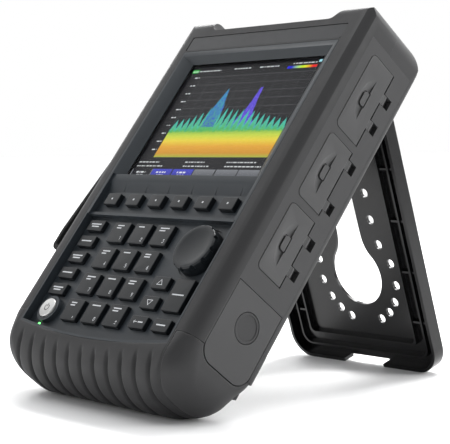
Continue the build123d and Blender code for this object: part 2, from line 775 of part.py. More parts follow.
with BuildPart() as battery_door:
    add(outer_form.part)
    extrude(battery_outline(door_back, 0), amount=2 * side_layer, mode=Mode.INTERSECT)
    # Guide tongues above and below the pack.
    for low in (battery_bottom - tongue_gap - tongue, battery_top + tongue_gap):
        tongue_x = (side_half - tongue_reach, door_back + 1)
        tongue_z = (battery_z[0] + 2, battery_z[1] - 2)
        add(box_zone((tongue_x, (low, low + tongue), tongue_z)))
    with BuildSketch(side.offset(door_back + button_floor)) as button_pocket:
        with Locations((button_y, -button_depth)):
            Circle(button_radius + fit)
    extrude(button_pocket.sketch, amount=side_layer, mode=Mode.SUBTRACT)
    with BuildSketch(side.offset(side_half - 1)) as stem_hole:
        with Locations((button_y, -button_depth)):
            Circle(button_stem + fit)
    extrude(stem_hole.sketch, amount=side_layer, mode=Mode.SUBTRACT)
battery_door.part.label = "battery_door"
export_step(battery_door.part, "parts/battery_door.step")

with BuildPart() as battery_button:
    disc_back = door_back + button_floor + button_travel + 0.1
    with BuildSketch(side.offset(disc_back)) as disc:
        with Locations((button_y, -button_depth)):
            Circle(button_radius)
    extrude(disc.sketch, amount=half - button_sink - disc_back)
    with BuildSketch(side.offset(half - button_sink - button_dish)) as dish:
        with Locations((button_y, -button_depth)):
            Circle(button_radius - 1.5)
    extrude(dish.sketch, amount=side_layer, mode=Mode.SUBTRACT)
    with BuildSketch(side.offset(battery_end + button_travel + fit)) as stem:
        with Locations((button_y, -button_depth)):
            Circle(button_stem)
    extrude(stem.sketch, amount=disc_back - battery_end - button_travel)
battery_button.part.label = "battery_button"
export_step(battery_button.part, "parts/battery_button.step")

# ---------------------------------------------------------------- keys
key_bottom = bezel_thickness + flange_gap + flange_thickness
board_top = key_bottom + key_travel + dome_gap + dome_height
keys = {}
for index in range(6):
    softkey_x = (index - 2.5) * softkey_pitch
    keys[f"softkey_{index + 1}"] = (softkey_x, softkey_y, softkey_size, softkey_top)
for index in range(5):
    keys[f"function_key_{index + 1}"] = (
        function_x,
        function_y + (4 - index) * function_pitch,
        function_size,
        key_top,
    )
digit_names = ("key_1 key_2 key_3", "key_4 key_5 key_6", "key_7 key_8 key_9", "key_point key_0 key_sign")
for row, names in enumerate(digit_names):
    for column, name in enumerate(names.split()):
        keys[name] = (
            digit_x + column * digit_pitch[0],
            digit_y + (3 - row) * digit_pitch[1],
            digit_size,
            key_top,
        )
keys["key_up"] = (arrow_x, arrow_down_y + arrow_pitch, small_size, key_top)
keys["key_down"] = (arrow_x, arrow_down_y, small_size, key_top)
enter_size = (enter_width, arrow_pitch + small_size[1])
keys["key_enter"] = (enter_x, arrow_down_y + arrow_pitch / 2, enter_size, key_top)
keys["key_back"] = (arrow_x, bottom_row_y, small_size, key_top)
keys["key_escape"] = (enter_x, bottom_row_y, small_size, key_top)

for name, (x, y, size, top) in keys.items():
    with BuildPart() as key:
        with BuildSketch(case.offset(-bezel_thickness - flange_gap)):
            with Locations((x, y)):
                RectangleRounded(size[0], size[1], key_corner)
        extrude(amount=bezel_thickness + flange_gap - top)
        fillet(key.edges().group_by(out_axis)[-1], 0.5)
        with BuildSketch(case.offset(-key_bottom)):
            with Locations((x, y)):
                RectangleRounded(size[0] + 2 * flange_width, size[1] + 2 * flange_width, key_corner)
        extrude(amount=flange_thickness)
    key.part.label = name
    export_step(key.part, f"parts/{name}.step")

with BuildPart() as power_button:
    with BuildSketch(case.offset(-bezel_thickness - flange_gap)):
        with Locations((power_x, power_y)):
            Circle(power_radius)
    extrude(amount=bezel_thickness + flange_gap - power_top)
    fillet(power_button.edges().group_by(out_axis)[-1], 0.6)
    with BuildSketch(case.offset(-key_bottom)):
        with Locations((power_x, power_y)):
            Circle(power_radius + flange_width)
    extrude(amount=flange_thickness)
power_button.part.label = "power_button"
export_step(power_button.part, "parts/power_button.step")

# ---------------------------------------------------------------- tuning knob
encoder_floor = board_top - encoder_base
knob_bottom = keypad_floor + well_depth - fit
knob_top = knob_bottom - knob_height

with BuildPart() as tuning_knob:
    with BuildSketch(case.offset(-knob_bottom)):
        with Locations((knob_x, knob_y)):
            Circle(knob_radius)
    extrude(amount=knob_height)
    fillet(tuning_knob.edges().group_by(out_axis)[-1], 1.2)
    # Notches round the rim.
    with BuildSketch(case.offset(-knob_top - scallop_depth)):
        with Locations((knob_x, knob_y)):
            with PolarLocations(knob_radius + scallop_radius / 2, knob_scallops):
                Circle(scallop_radius)
    extrude(amount=2 * scallop_depth, mode=Mode.SUBTRACT)
    # Dished top.
    dish_edge = knob_radius - knob_rim
    dish_sphere = (dish_edge**2 + knob_dish**2) / (2 * knob_dish)
    with Locations(case.location * Location((knob_x, knob_y, dish_sphere - knob_top - knob_dish))):
        Sphere(dish_sphere, mode=Mode.SUBTRACT)
    with BuildSketch(case.offset(-encoder_floor)):
        with Locations((knob_x, knob_y)):
            Circle(shaft_radius)
    extrude(amount=encoder_floor - knob_bottom)
tuning_knob.part.label = "tuning_knob"
export_step(tuning_knob.part, "parts/tuning_knob.step")

encoder_top = bezel_thickness + flange_gap

with BuildPart() as encoder:
    block(
        (knob_x - encoder_width / 2, knob_x + encoder_width / 2),
        (knob_y - encoder_width / 2, knob_y + encoder_width / 2),
        (-board_top, -encoder_top),
    )
    with BuildSketch(case.offset(-encoder_floor - fit)) as shaft_bore:
        with Locations((knob_x, knob_y)):
            Circle(shaft_radius + bore_gap)
    extrude(shaft_bore.sketch, amount=encoder_floor, mode=Mode.SUBTRACT)
encoder.part.label = "encoder"
export_step(encoder.part, "parts/encoder.step")

# ---------------------------------------------------------------- front bezel
glass_half = screen_width / 2 + glass_border
glass_y = (screen_bottom - glass_border, screen_top + glass_border)
ledge_half = bezel_half - 2 * bezel_rim
lip_top = keypad_top + lip_thickness
ledge_end = screen_bottom - screen_gap

with BuildPart() as front_bezel:
    extrude(panel_outline(bezel_thickness, 0, bezel_top), amount=bezel_thickness)
    # Keypad floor, with the lip and the softkey ledge above it.
    extrude(panel_outline(keypad_floor, -bezel_rim, keypad_top), amount=keypad_floor + 1, mode=Mode.SUBTRACT)
    with BuildSketch(side.offset(-ledge_half)) as ledge:
        with BuildLine():
            Polyline(
                (keypad_top - 1, 1),
                (keypad_top - 1, -lip_depth),
                (lip_top - 0.8, -lip_depth),
                (lip_top, -ledge_floor),
                (ledge_ramp, -ledge_floor),
                (ledge_crest, -ledge_top_depth),
                (ledge_end, -ledge_top_depth),
                (ledge_end, 1),
                (keypad_top - 1, 1),
            )
        make_face()
    extrude(ledge.sketch, amount=2 * ledge_half, mode=Mode.SUBTRACT)
    # Sloped opening round the screen.
    with BuildSketch(case.offset(-glass_depth)) as throat:
        with Locations((0, (screen_bottom + screen_top) / 2)):
            Rectangle(screen_width + 2 * screen_gap, screen_height + 2 * screen_gap)
    slope_high = screen_top + screen_gap + screen_slope / 2
    with BuildSketch(case) as mouth:
        with Locations((0, (ledge_end + slope_high) / 2)):
            Rectangle(screen_width + 2 * screen_gap + 2 * screen_slope, slope_high - ledge_end)
    loft([throat.sketch.face(), mouth.sketch.face()], mode=Mode.SUBTRACT)
    opening_x = (-screen_width / 2 - screen_gap, screen_width / 2 + screen_gap)
    opening_y = (screen_bottom - screen_gap, screen_top + screen_gap)
    block(opening_x, opening_y, (-bezel_thickness - 1, 1 - glass_depth), mode=Mode.SUBTRACT)
    # Seat of the glass, from behind.
    block(
        (-glass_half - fit, glass_half + fit),
        (glass_y[0] - fit, glass_y[1] + fit),
        (-bezel_thickness - 1, -glass_depth),
        mode=Mode.SUBTRACT,
    )
    # Slanted grooves from the screen labels down to the softkeys.
    for index in range(6):
        groove_x = (index - 2.5) * softkey_pitch + groove_shift
        groove_centre = (groove_x, (ledge_ramp + ledge_crest) / 2 + 1, -ledge_top_depth)
        groove_place = Location(groove_centre, groove_tilt)
        with Locations(case.location * groove_place):
            Box(groove_width, groove_length, 2 * groove_depth, mode=Mode.SUBTRACT)
    # Openings for the keys.
    for x, y, size, key_face in keys.values():
        with BuildSketch(case.offset(-bezel_thickness - 1)) as key_hole:
            with Locations((x, y)):
                RectangleRounded(size[0] + 2 * fit, size[1] + 2 * fit, key_corner + fit)
        extrude(key_hole.sketch, amount=bezel_thickness + 2, mode=Mode.SUBTRACT)
    # Collar and opening of the power button, and the hole of the status light.
    with BuildSketch(case.offset(-keypad_floor)) as collar:
        with Locations((power_x, power_y)):
            Circle(power_radius + collar_width)
    extrude(collar.sketch, amount=keypad_floor - collar_top)
    with BuildSketch(case.offset(-bezel_thickness - 1)) as round_holes:
        with Locations((power_x, power_y)):
            Circle(power_radius + fit)
        with Locations((light_x, light_y)):
            Circle(light_radius + fit)
        with Locations((knob_x, knob_y)):
            Circle(shaft_radius + fit)
    extrude(round_holes.sketch, amount=bezel_thickness + 2, mode=Mode.SUBTRACT)
    # Well round the tuning knob.
    with BuildSketch(case.offset(-keypad_floor - well_depth)) as well:
        with Locations((knob_x, knob_y)):
            Circle(knob_radius + well_gap)
    extrude(well.sketch, amount=keypad_floor + 2, mode=Mode.SUBTRACT)
    # Bosses that carry the keypad board.
    with BuildSketch(case.offset(-board_top)) as boss:
        with Locations(*boss_places, (-boss_ledge_x, softkey_y), (boss_ledge_x, softkey_y)):
            Circle(boss_radius)
    extrude(boss.sketch, amount=board_top - bezel_thickness)
front_bezel.part.label = "front_bezel"
export_step(front_bezel.part, "parts/front_bezel.step")

with BuildPart() as status_light:
    with BuildSketch(case.offset(-board_top)):
        with Locations((light_x, light_y)):
            Circle(light_radius)
    extrude(amount=board_top - keypad_floor + light_proud)
    fillet(status_light.edges().group_by(out_axis)[-1], 0.4)
status_light.part.label = "status_light"
export_step(status_light.part, "parts/status_light.step")

with BuildPart() as display_glass:
    block((-glass_half, glass_half), glass_y, (-glass_depth - glass_thickness, -glass_depth))
display_glass.part.label = "display_glass"
export_step(display_glass.part, "parts/display_glass.step")

lcd_front = glass_depth + glass_thickness
with BuildPart() as lcd_panel:
    block((-glass_half, glass_half), glass_y, (-lcd_front - lcd_thickness, -lcd_front))
lcd_panel.part.label = "lcd_panel"
export_step(lcd_panel.part, "parts/lcd_panel.step")

# ---------------------------------------------------------------- boards
board_half = bezel_half - 4.0
with BuildPart() as keypad_board:
    board_y = (bezel_bottom + 2, glass_y[0] - 2)
    block((-board_half, board_half), board_y, (-board_top - board_thickness, -board_top))
    dome_places = [(x, y) for x, y, size, key_face in keys.values()]
    with BuildSketch(case.offset(-board_top)) as domes:
        with Locations(*dome_places, (power_x, power_y)):
            Circle(dome_radius)
    extrude(domes.sketch, amount=dome_height)
keypad_board.part.label = "keypad_board"
export_step(keypad_board.part, "parts/keypad_board.step")

with BuildPart() as main_board:
    board_x = (-main_half, main_half)
    board_y = (battery_top + 6, ceiling - 6)
    block(board_x, board_y, (-main_depth - board_thickness, -main_depth))
    # Shield cans over the receiver and the source, and the module behind the board.
    can_y = (board_y[0] + 40, board_y[1] - 10)
    can_z = (-main_depth, can_height - main_depth)
    block((8 - main_half, -4), can_y, can_z)
    block((4, main_half - 22), can_y, can_z)
    module_z = (-main_depth - board_thickness - module_height, -main_depth)
    block((6 - main_half, main_half - 18), can_y, module_z)
main_board.part.label = "main_board"
export_step(main_board.part, "parts/main_board.step")

# ---------------------------------------------------------------- side connectors
socket_front = side_half
with BuildPart() as port_sockets:
    for door, offset, height, width in sockets.values():
        centre = socket_y(door, offset)
        y = (centre - height / 2, centre + height / 2)
        z = (-socket_depth - width / 2, width / 2 - socket_depth)
        block((socket_front - port_depth, socket_front), y, z)
        mouth_y = (y[0] + shell_wall, y[1] - shell_wall)
        mouth_z = (z[0] + shell_wall, z[1] - shell_wall)
        block((socket_front - socket_mouth, socket_front + 1), mouth_y, mouth_z, mode=Mode.SUBTRACT)
        # Contact tongue, held to the back of the socket.
        tongue_y = (y[0] + 3 * shell_wall, y[1] - 3 * shell_wall)
        block((socket_front - socket_mouth - 1, socket_front - 2), tongue_y, (z[0] + 1.2, z[0] + 2.2))
    for door, offset, radius, bore, pin in jacks.values():
        centre = socket_y(door, offset)
        with BuildSketch(side.offset(socket_front - port_depth)) as barrel:
            with Locations((centre, -socket_depth)):
                Circle(radius)
        extrude(barrel.sketch, amount=port_depth)
        with BuildSketch(side.offset(socket_front - socket_mouth)) as jack_bore:
            with Locations((centre, -socket_depth)):
                Circle(bore)
                if pin > 0:
                    Circle(pin, mode=Mode.SUBTRACT)
        extrude(jack_bore.sketch, amount=socket_mouth + 1, mode=Mode.SUBTRACT)
port_sockets.part.label = "port_sockets"
export_step(port_sockets.part, "parts/port_sockets.step")

# ---------------------------------------------------------------- top connectors
panel_high = bay_floor + top_plate
bay_middle = -(bay_front + bay_rear) / 2
n_places = [(-n_pitch / 2, bay_middle), (n_pitch / 2, bay_middle)]
sma_places = [(-sma_pitch, bay_middle), (0, bay_middle), (sma_pitch, bay_middle)]

with BuildPart() as top_panel:
    block(
        (fit - bay_half_width, bay_half_width - fit),
        (bay_floor, panel_high),
        (fit - bay_rear, -bay_front - fit),
    )
    with BuildSketch(end.offset(-panel_high - 1)) as connector_holes:
        with Locations(*n_places):
            Circle(n_radius - 1 + fit)
        with Locations(*sma_places):
            Circle(sma_radius - 0.5 + fit)
    extrude(connector_holes.sketch, amount=top_plate + 2, mode=Mode.SUBTRACT)
top_panel.part.label = "top_panel"
export_step(top_panel.part, "parts/top_panel.step")

with BuildPart() as rf_ports:
    with BuildSketch(end.offset(-panel_high)) as nuts:
        with Locations(*n_places):
            RegularPolygon(n_radius + nut_rim, 6)
    extrude(nuts.sketch, amount=-hex_height)
    with BuildSketch(end.offset(-panel_high)) as barrels:
        with Locations(*n_places):
            Circle(n_radius)
    extrude(barrels.sketch, amount=-n_length)
    with BuildSketch(end.offset(-panel_high - hex_height)) as bores:
        with Locations(*n_places):
            Circle(n_bore)
            Circle(n_contact, mode=Mode.SUBTRACT)
    extrude(bores.sketch, amount=-n_length, mode=Mode.SUBTRACT)
    with BuildSketch(end.offset(-panel_high)) as tails:
        with Locations(*n_places):
            Circle(n_radius - 1)
    extrude(tails.sketch, amount=tail_length)
rf_ports.part.label = "rf_ports"
export_step(rf_ports.part, "parts/rf_ports.step")

with BuildPart() as coax_ports:
    with BuildSketch(end.offset(-panel_high)) as nuts:
        with Locations(*sma_places):
            RegularPolygon(sma_radius + sma_rim, 6)
    extrude(nuts.sketch, amount=-hex_height)
    with BuildSketch(end.offset(-panel_high)) as barrels:
        with Locations(*sma_places):
            Circle(sma_radius)
    extrude(barrels.sketch, amount=-sma_length)
    with BuildSketch(end.offset(-panel_high - hex_height)) as bores:
        with Locations(*sma_places):
            Circle(sma_bore)
            Circle(sma_contact, mode=Mode.SUBTRACT)
    extrude(bores.sketch, amount=-sma_length, mode=Mode.SUBTRACT)
    with BuildSketch(end.offset(-panel_high)) as tails:
        with Locations(*sma_places):
            Circle(sma_radius - 0.5)
    extrude(tails.sketch, amount=tail_length)
coax_ports.part.label = "coax_ports"
export_step(coax_ports.part, "parts/coax_ports.step")

# ---------------------------------------------------------------- kickstand
tray_back = stand_rim_offset - stand_thickness
foot_line = -stand_length


def tray_outline(inset, distance):
    """The stand's outline, shrunk by an inset, at a distance in front of its hinge axis."""
    high = -stand_head - inset
    low = foot_line + inset
    with BuildSketch(stand.offset(distance)) as outline:
        with Locations((0, (low + high) / 2)):
            Rectangle(stand_width - 2 * inset, high - low)
        fillet(outline.vertices().sort_by(Axis.Y)[:2], max(stand_corner - inset, rib_corner))
    return outline.sketch


with BuildPart() as kickstand:
    extrude(tray_outline(0, tray_back), amount=stand_thickness)
    extrude(tray_outline(stand_wall, tray_back + stand_wall), amount=stand_thickness, mode=Mode.SUBTRACT)
    # Stiffening ribs that follow the rim, tied to it by short cross ribs.
    for offset in rib_offsets:
        extrude(tray_outline(offset, tray_back), amount=rib_height)
        extrude(
            tray_outline(offset + rib_thickness, tray_back + stand_wall),
            amount=rib_height,
            mode=Mode.SUBTRACT,
        )
    cross_count = int((stand_length - stand_corner - stand_head) / rib_pitch)
    for sign in (-1, 1):
        for index in range(cross_count):
            centre = foot_line + stand_corner + (index + 0.5) * rib_pitch
            rib_ends = (stand_width / 2 - 1, stand_width / 2 - rib_offsets[1] - 1)
            rib_x = sorted(sign * x for x in rib_ends)
            rib_y = (centre - rib_thickness / 2, centre + rib_thickness / 2)
            block(rib_x, rib_y, (tray_back + 1, tray_back + rib_height - 1), frame=stand)
    # Keyhole, from the round end up into the neck.
    hole_y = foot_line + keyhole_height
    keyhole_plane = Plane(
        origin=(stand.offset(tray_back - 1) * Location((keyhole_shift, 0, 0))).position,
        x_dir=stand.x_dir,
        z_dir=stand.z_dir,
    )
    with BuildSketch(stand.offset(tray_back - 1)) as keyhole:
        with Locations((keyhole_shift, hole_y)):
            Circle(keyhole_radius)
        with Locations((keyhole_shift, (hole_y + foot_line + keyhole_top) / 2)):
            Rectangle(2 * keyhole_neck, keyhole_top - keyhole_height)
        joins = keyhole.vertices().sort_by(Axis.Y)
        fillet(joins[-2:], keyhole_neck - 1)
    with BuildSketch(keyhole_plane) as flare:
        flare_low = hole_y + sqrt(keyhole_radius**2 - keyhole_flare**2)
        with BuildLine():
            f1 = Line((-keyhole_flare, flare_low), (keyhole_flare, flare_low))
            f2 = Spline(
                f1 @ 1,
                (keyhole_neck, flare_low + flare_height),
                tangents=((-flare_low + hole_y, keyhole_flare), (0, 1)),
            )
            Line(f2 @ 1, (-keyhole_neck, flare_low + flare_height))
            mirror(f2, about=Plane.YZ)
        make_face()
    extrude(keyhole.sketch, amount=stand_thickness, mode=Mode.SUBTRACT)
    extrude(flare.sketch, amount=stand_thickness, mode=Mode.SUBTRACT)
    # Vent holes round the keyhole.
    with BuildSketch(stand.offset(tray_back - 1)) as vents:
        for angle in vent_angles:
            x = vent_ring * cos(radians(angle))
            y = hole_y + vent_ring * sin(radians(angle))
            with Locations((keyhole_shift + x, y), (keyhole_shift - x, y)):
                Circle(vent_radius)
        for step in range(3):
            y = hole_y + vent_column_low + step * vent_column_pitch
            with Locations((keyhole_shift + vent_column_x, y), (keyhole_shift - vent_column_x, y)):
                Circle(vent_radius)
    extrude(vents.sketch, amount=stand_wall + 2, mode=Mode.SUBTRACT)
    # Notch in the foot.
    block(
        (-notch_half, notch_half),
        (foot_line - 1, foot_line + notch_depth),
        (tray_back - 1, stand_rim_offset + 1),
        mode=Mode.SUBTRACT,
        frame=stand,
    )
    # Knuckles of the two hinges.
    for sign in (-1, 1):
        middle = sign * knuckle_centre
        knuckle_x = (middle - knuckle_width / 2, middle + knuckle_width / 2)
        block(knuckle_x, (-stand_head - 1, 0), (-stand_knuckle_radius, 0), frame=stand)
        with Locations(stand.location * Location((sign * knuckle_centre, 0, 0), (0, 90, 0))):
            Cylinder(stand_knuckle_radius, knuckle_width)
            Cylinder(stand_pin_radius + bore_gap, knuckle_width + 2, mode=Mode.SUBTRACT)
kickstand.part.label = "kickstand"
export_step(kickstand.part, "parts/kickstand.step")

# ---------------------------------------------------------------- hand strap
strap_z = (-strap_depth - strap_width / 2, strap_width / 2 - strap_depth)
strap_face = -half - strap_stand

with BuildPart() as hand_strap:
    with BuildSketch(case.offset(strap_z[0])):
        with BuildLine():
            FilletPolyline(
                (-half - anchor_gap, strap_low),
                (strap_face - strap_bulge, strap_low),
                (strap_face - strap_bulge, strap_low + strap_loop),
                (strap_face, strap_low + strap_loop + strap_slope),
                (strap_face, strap_high),
                (-half - anchor_gap, strap_high),
                radius=strap_bend,
            )
        trace(line_width=strap_thickness)
    extrude(amount=strap_width)
hand_strap.part.label = "hand_strap"
export_step(hand_strap.part, "parts/hand_strap.step")

with BuildPart() as strap_anchors:
    anchor_lows = (
        strap_low - strap_thickness / 2 - fit - anchor_height,
        strap_high + strap_thickness / 2 + fit,
    )
    for low in anchor_lows:
        anchor_x = (-half - anchor_reach, -half)
        block(anchor_x, (low, low + anchor_height), (strap_z[0], strap_z[1]))
    fillet(strap_anchors.faces().sort_by(Axis.X)[:2].edges(), 1.2)
strap_anchors.part.label = "strap_anchors"
export_step(strap_anchors.part, "parts/strap_anchors.step")
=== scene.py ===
import json
import math

import bmesh
import bpy
import numpy as np
from mathutils import Matrix, Vector
from mathutils.bvhtree import BVHTree


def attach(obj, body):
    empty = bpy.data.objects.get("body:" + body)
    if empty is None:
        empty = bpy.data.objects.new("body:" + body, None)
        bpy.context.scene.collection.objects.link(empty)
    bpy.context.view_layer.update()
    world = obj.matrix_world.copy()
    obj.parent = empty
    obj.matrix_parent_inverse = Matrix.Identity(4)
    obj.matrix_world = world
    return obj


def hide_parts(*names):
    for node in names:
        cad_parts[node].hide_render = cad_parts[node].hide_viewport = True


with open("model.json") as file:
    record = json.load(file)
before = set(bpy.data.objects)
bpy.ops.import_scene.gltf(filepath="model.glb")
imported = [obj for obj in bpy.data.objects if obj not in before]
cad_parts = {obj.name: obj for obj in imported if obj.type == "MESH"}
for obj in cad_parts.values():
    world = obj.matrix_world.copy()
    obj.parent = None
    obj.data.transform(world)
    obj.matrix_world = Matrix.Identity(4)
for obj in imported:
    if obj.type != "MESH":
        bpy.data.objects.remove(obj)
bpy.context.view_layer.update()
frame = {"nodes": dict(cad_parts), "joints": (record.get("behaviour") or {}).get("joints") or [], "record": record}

# ---------------------------------------------------------------- table, light and camera
# The analyzer stands on a plain pale table under soft studio light.
# The case's own frame is x to the right, y up along the case and z out of its face, in
# millimetres; it is found from the axis that the knob turns on.
joints = {joint["name"]: joint for joint in frame["joints"]}
knob_axis = joints["tuning_knob_turn"]
case_out = Vector(knob_axis["axis"])
case_right = Vector((1, 0, 0))
case_up = case_out.cross(case_right)
knob_x = 55.0
knob_y = 98.0
knob_depth = 6.0
case_turn = Matrix((case_right, case_up, case_out)).transposed().to_4x4()
case_origin = Vector(knob_axis["pos_m"]) - case_turn @ Vector((knob_x, knob_y, -knob_depth)) / 1000
case_place = Matrix.Translation(case_origin) @ case_turn @ Matrix.Scale(0.001, 4)
case_read = case_place.inverted()


def span(node):
    """Lowest and highest corner of a CAD node in the case's frame, in millimetres."""
    points = [case_read @ v.co for v in frame["nodes"][node].data.vertices]
    low = Vector([min(p[i] for p in points) for i in range(3)])
    high = Vector([max(p[i] for p in points) for i in range(3)])
    return low, high


camera_place = (719.3, -195.3, 473.0)
camera_right = (0.657, 0.4605, -0.5965)
camera_up = (-0.0348, 0.8093, 0.5864)
camera_back = (0.7528, -0.3647, 0.5480)
lens = 113.4
camera_data = bpy.data.cameras.new("view")
camera_data.lens = lens
camera_data.sensor_width = 36.0
camera_data.shift_x = -0.0038
camera_data.shift_y = -0.0038
camera_data.clip_start = 0.01
camera_data.clip_end = 50.0
camera = bpy.data.objects.new("view", camera_data)
bpy.context.scene.collection.objects.link(camera)
camera_turn = Matrix((camera_right, camera_up, camera_back)).transposed()
camera_world = (case_turn.to_3x3() @ camera_turn).to_quaternion().to_matrix().to_4x4()
camera.matrix_world = Matrix.Translation(case_place @ Vector(camera_place)) @ camera_world
bpy.context.scene.camera = camera
bpy.context.scene.view_settings.view_transform = "Standard"


class Shade:
    """A shader value that takes part in plain Python arithmetic."""

    def __init__(self, tree, socket=None):
        self.tree = tree
        self.socket = socket

    def node(self, kind, settings, sockets, output=0):
        """Adds a node: its settings first, then the values or links of its sockets."""
        made = self.tree.nodes.new("ShaderNode" + kind)
        for name, value in settings.items():
            setattr(made, name, value)
        for name, value in sockets.items():
            if isinstance(value, Shade):
                self.tree.links.new(value.socket, made.inputs[name])
            else:
                made.inputs[name].default_value = value
        return Shade(self.tree, made.outputs[output])

    def sum(self, kind, first, second=0.0):
        return self.node("Math", {"operation": kind}, {0: first, 1: second})

    def __add__(self, other):
        return self.sum("ADD", self, other)

    def __sub__(self, other):
        return self.sum("SUBTRACT", self, other)

    def __rsub__(self, other):
        return self.sum("SUBTRACT", other, self)

    def __mul__(self, other):
        return self.sum("MULTIPLY", self, other)

    __radd__ = __add__
    __rmul__ = __mul__

    def blend(self, first, second):
        """Colour that goes from the first to the second as this value goes from 0 to 1."""
        sockets = {"Factor": self, 6: opaque(first), 7: opaque(second)}
        return self.node("Mix", {"data_type": "RGBA"}, sockets, output=2)


def opaque(colour):
    """A plain colour with its alpha, or a linked one as it is."""
    return colour if isinstance(colour, Shade) else (*colour, 1.0)


def new_finish(name, constants, links):
    """A material on one Principled shader: plain values on its sockets, then what varies."""
    material = bpy.data.materials.new(name)
    material.use_nodes = True
    tree = material.node_tree
    shader = tree.nodes["Principled BSDF"]
    for socket, value in constants.items():
        shader.inputs[socket].default_value = value
    start = Shade(tree)
    where = start.node("TexCoord", {}, {}, output="Object")
    for socket, value in links(start, where).items():
        tree.links.new(value.socket, shader.inputs[socket])
    return material


def speckle(start, where, size_mm, detail=3.0, rough=0.5):
    """Noise whose grains are about the given size across."""
    sockets = {"Vector": where, "Scale": 1000.0 / size_mm, "Detail": detail, "Roughness": rough}
    return start.node("TexNoise", {}, sockets)


def bumped(start, height, depth_mm, strength=1.0):
    """A surface normal pushed in and out by a height between 0 and 1."""
    sockets = {"Height": height, "Distance": depth_mm / 1000.0, "Strength": strength}
    return start.node("Bump", {}, sockets)


def table_finish(start, where):
    fibre = speckle(start, where, 2.0)
    return {
        "Base Color": fibre.blend((0.9, 0.9, 0.9), (0.94, 0.94, 0.94)),
        "Roughness": 0.55 + fibre * 0.2,
        "Normal": bumped(start, fibre, 0.05),
    }


table_radius = 14.0
table_sides = 96
ring = [2 * math.pi * i / table_sides for i in range(table_sides)]
table_mesh = bpy.data.meshes.new("table")
rim = [(table_radius * math.cos(turn), table_radius * math.sin(turn), 0.0) for turn in ring]
table_mesh.from_pydata(rim, [], [tuple(range(table_sides))])
table = bpy.data.objects.new("table", table_mesh)
bpy.context.scene.collection.objects.link(table)
table.data.materials.append(new_finish("pale_table", {}, table_finish))

world = bpy.data.worlds.new("studio")
world.use_nodes = True
start = Shade(world.node_tree)
where = start.node("TexCoord", {}, {}, output="Generated")
height = start.node("SeparateXYZ", {}, {"Vector": where}, output="Z")
sky_range = {"Value": height, "From Min": 0.22, "From Max": 0.55}
high_up = start.node("MapRange", {"clamp": True}, sky_range)
sky = high_up.blend((1.0, 1.0, 1.0), (0.16, 0.165, 0.175))
world.node_tree.links.new(sky.socket, world.node_tree.nodes["Background"].inputs["Color"])
world.node_tree.nodes["Background"].inputs["Strength"].default_value = 1.0
bpy.context.scene.world = world

# A wide soft sun whitens the whole table.
sun_data = bpy.data.lights.new("sun", "SUN")
sun_data.energy = 3.2
sun_data.angle = math.radians(120)
sun = bpy.data.objects.new("sun", sun_data)
bpy.context.scene.collection.objects.link(sun)
sun.rotation_euler = (math.radians(-28), math.radians(-14), 0)

# Soft boxes: name, place, width, height, power, all turned to the middle of the case.
lamps = (
    ("overhead", (-0.2, 0.9, 1.4), 0.8, 0.5, 30.0),
    ("behind_left", (-1.3, 0.8, 0.7), 0.5, 0.7, 9.0),
    ("right_rear", (1.3, 0.9, 0.8), 0.4, 0.8, 8.0),
    ("front_left", (-1.0, -1.2, 0.7), 0.4, 0.9, 3.0),
)
aim = case_place @ Vector((0, 150, -30))
for name, place, width, height, power in lamps:
    lamp_data = bpy.data.lights.new(name, "AREA")
    lamp_data.shape = "RECTANGLE"
    lamp_data.size = width
    lamp_data.size_y = height
    lamp_data.energy = power
    lamp = bpy.data.objects.new(name, lamp_data)
    bpy.context.scene.collection.objects.link(lamp)
    lamp.location = place
    lamp.rotation_euler = (aim - Vector(place)).to_track_quat("-Z", "Y").to_euler()


# ---------------------------------------------------------------- rear housing and front bumper
# The rear half is a hard moulded shell, and a soft rubber frame is moulded round the front
# edge and over the corners. Both have a fine matt texture and a painted edge highlight.
def moulded(name, colour, rough, grain_mm=0.5, grain_depth=0.02, highlight_gain=1.35, constants=()):
    """A moulded plastic or rubber with grain, faint mottling and a painted highlight on its edges."""

    def links(start, where):
        grain = speckle(start, where, grain_mm, detail=2.0)
        cloud = speckle(start, where, 28.0, detail=4.0)
        smudge = speckle(start, where, 7.0, detail=3.0, rough=0.6)
        # The edges, found where a bevelled normal parts from the true one, are painted lighter as a highlight.
        rounded = start.node("Bevel", {"samples": 4}, {"Radius": 0.0009})
        flat = start.node("NewGeometry", {}, {}, output="Normal")
        pair = {0: rounded, 1: flat}
        match = start.node("VectorMath", {"operation": "DOT_PRODUCT"}, pair, "Value")
        highlight_range = {"Value": (1.0 - match) * (0.4 + smudge), "From Min": 0.01, "From Max": 0.22}
        edge = start.node("MapRange", {"clamp": True}, highlight_range)
        dark = tuple(0.9 * c for c in colour)
        light = tuple(1.1 * c for c in colour)
        highlight_colour = tuple(highlight_gain * c for c in colour)
        return {
            "Base Color": edge.blend(cloud.blend(dark, light), highlight_colour),
            "Roughness": rough + (smudge - 0.5) * 0.16 - edge * 0.06,
            "Normal": bumped(start, grain + cloud * 0.3, grain_depth),
        }

    return new_finish(name, {"Specular IOR Level": 0.32, **dict(constants)}, links)


body_of = {}
for body, members in frame["record"]["behaviour"]["bodies"].items():
    for member in members:
        body_of[member] = body
slot_of = {part["node"]: part["material_slot"] for part in frame["record"]["subparts"]}


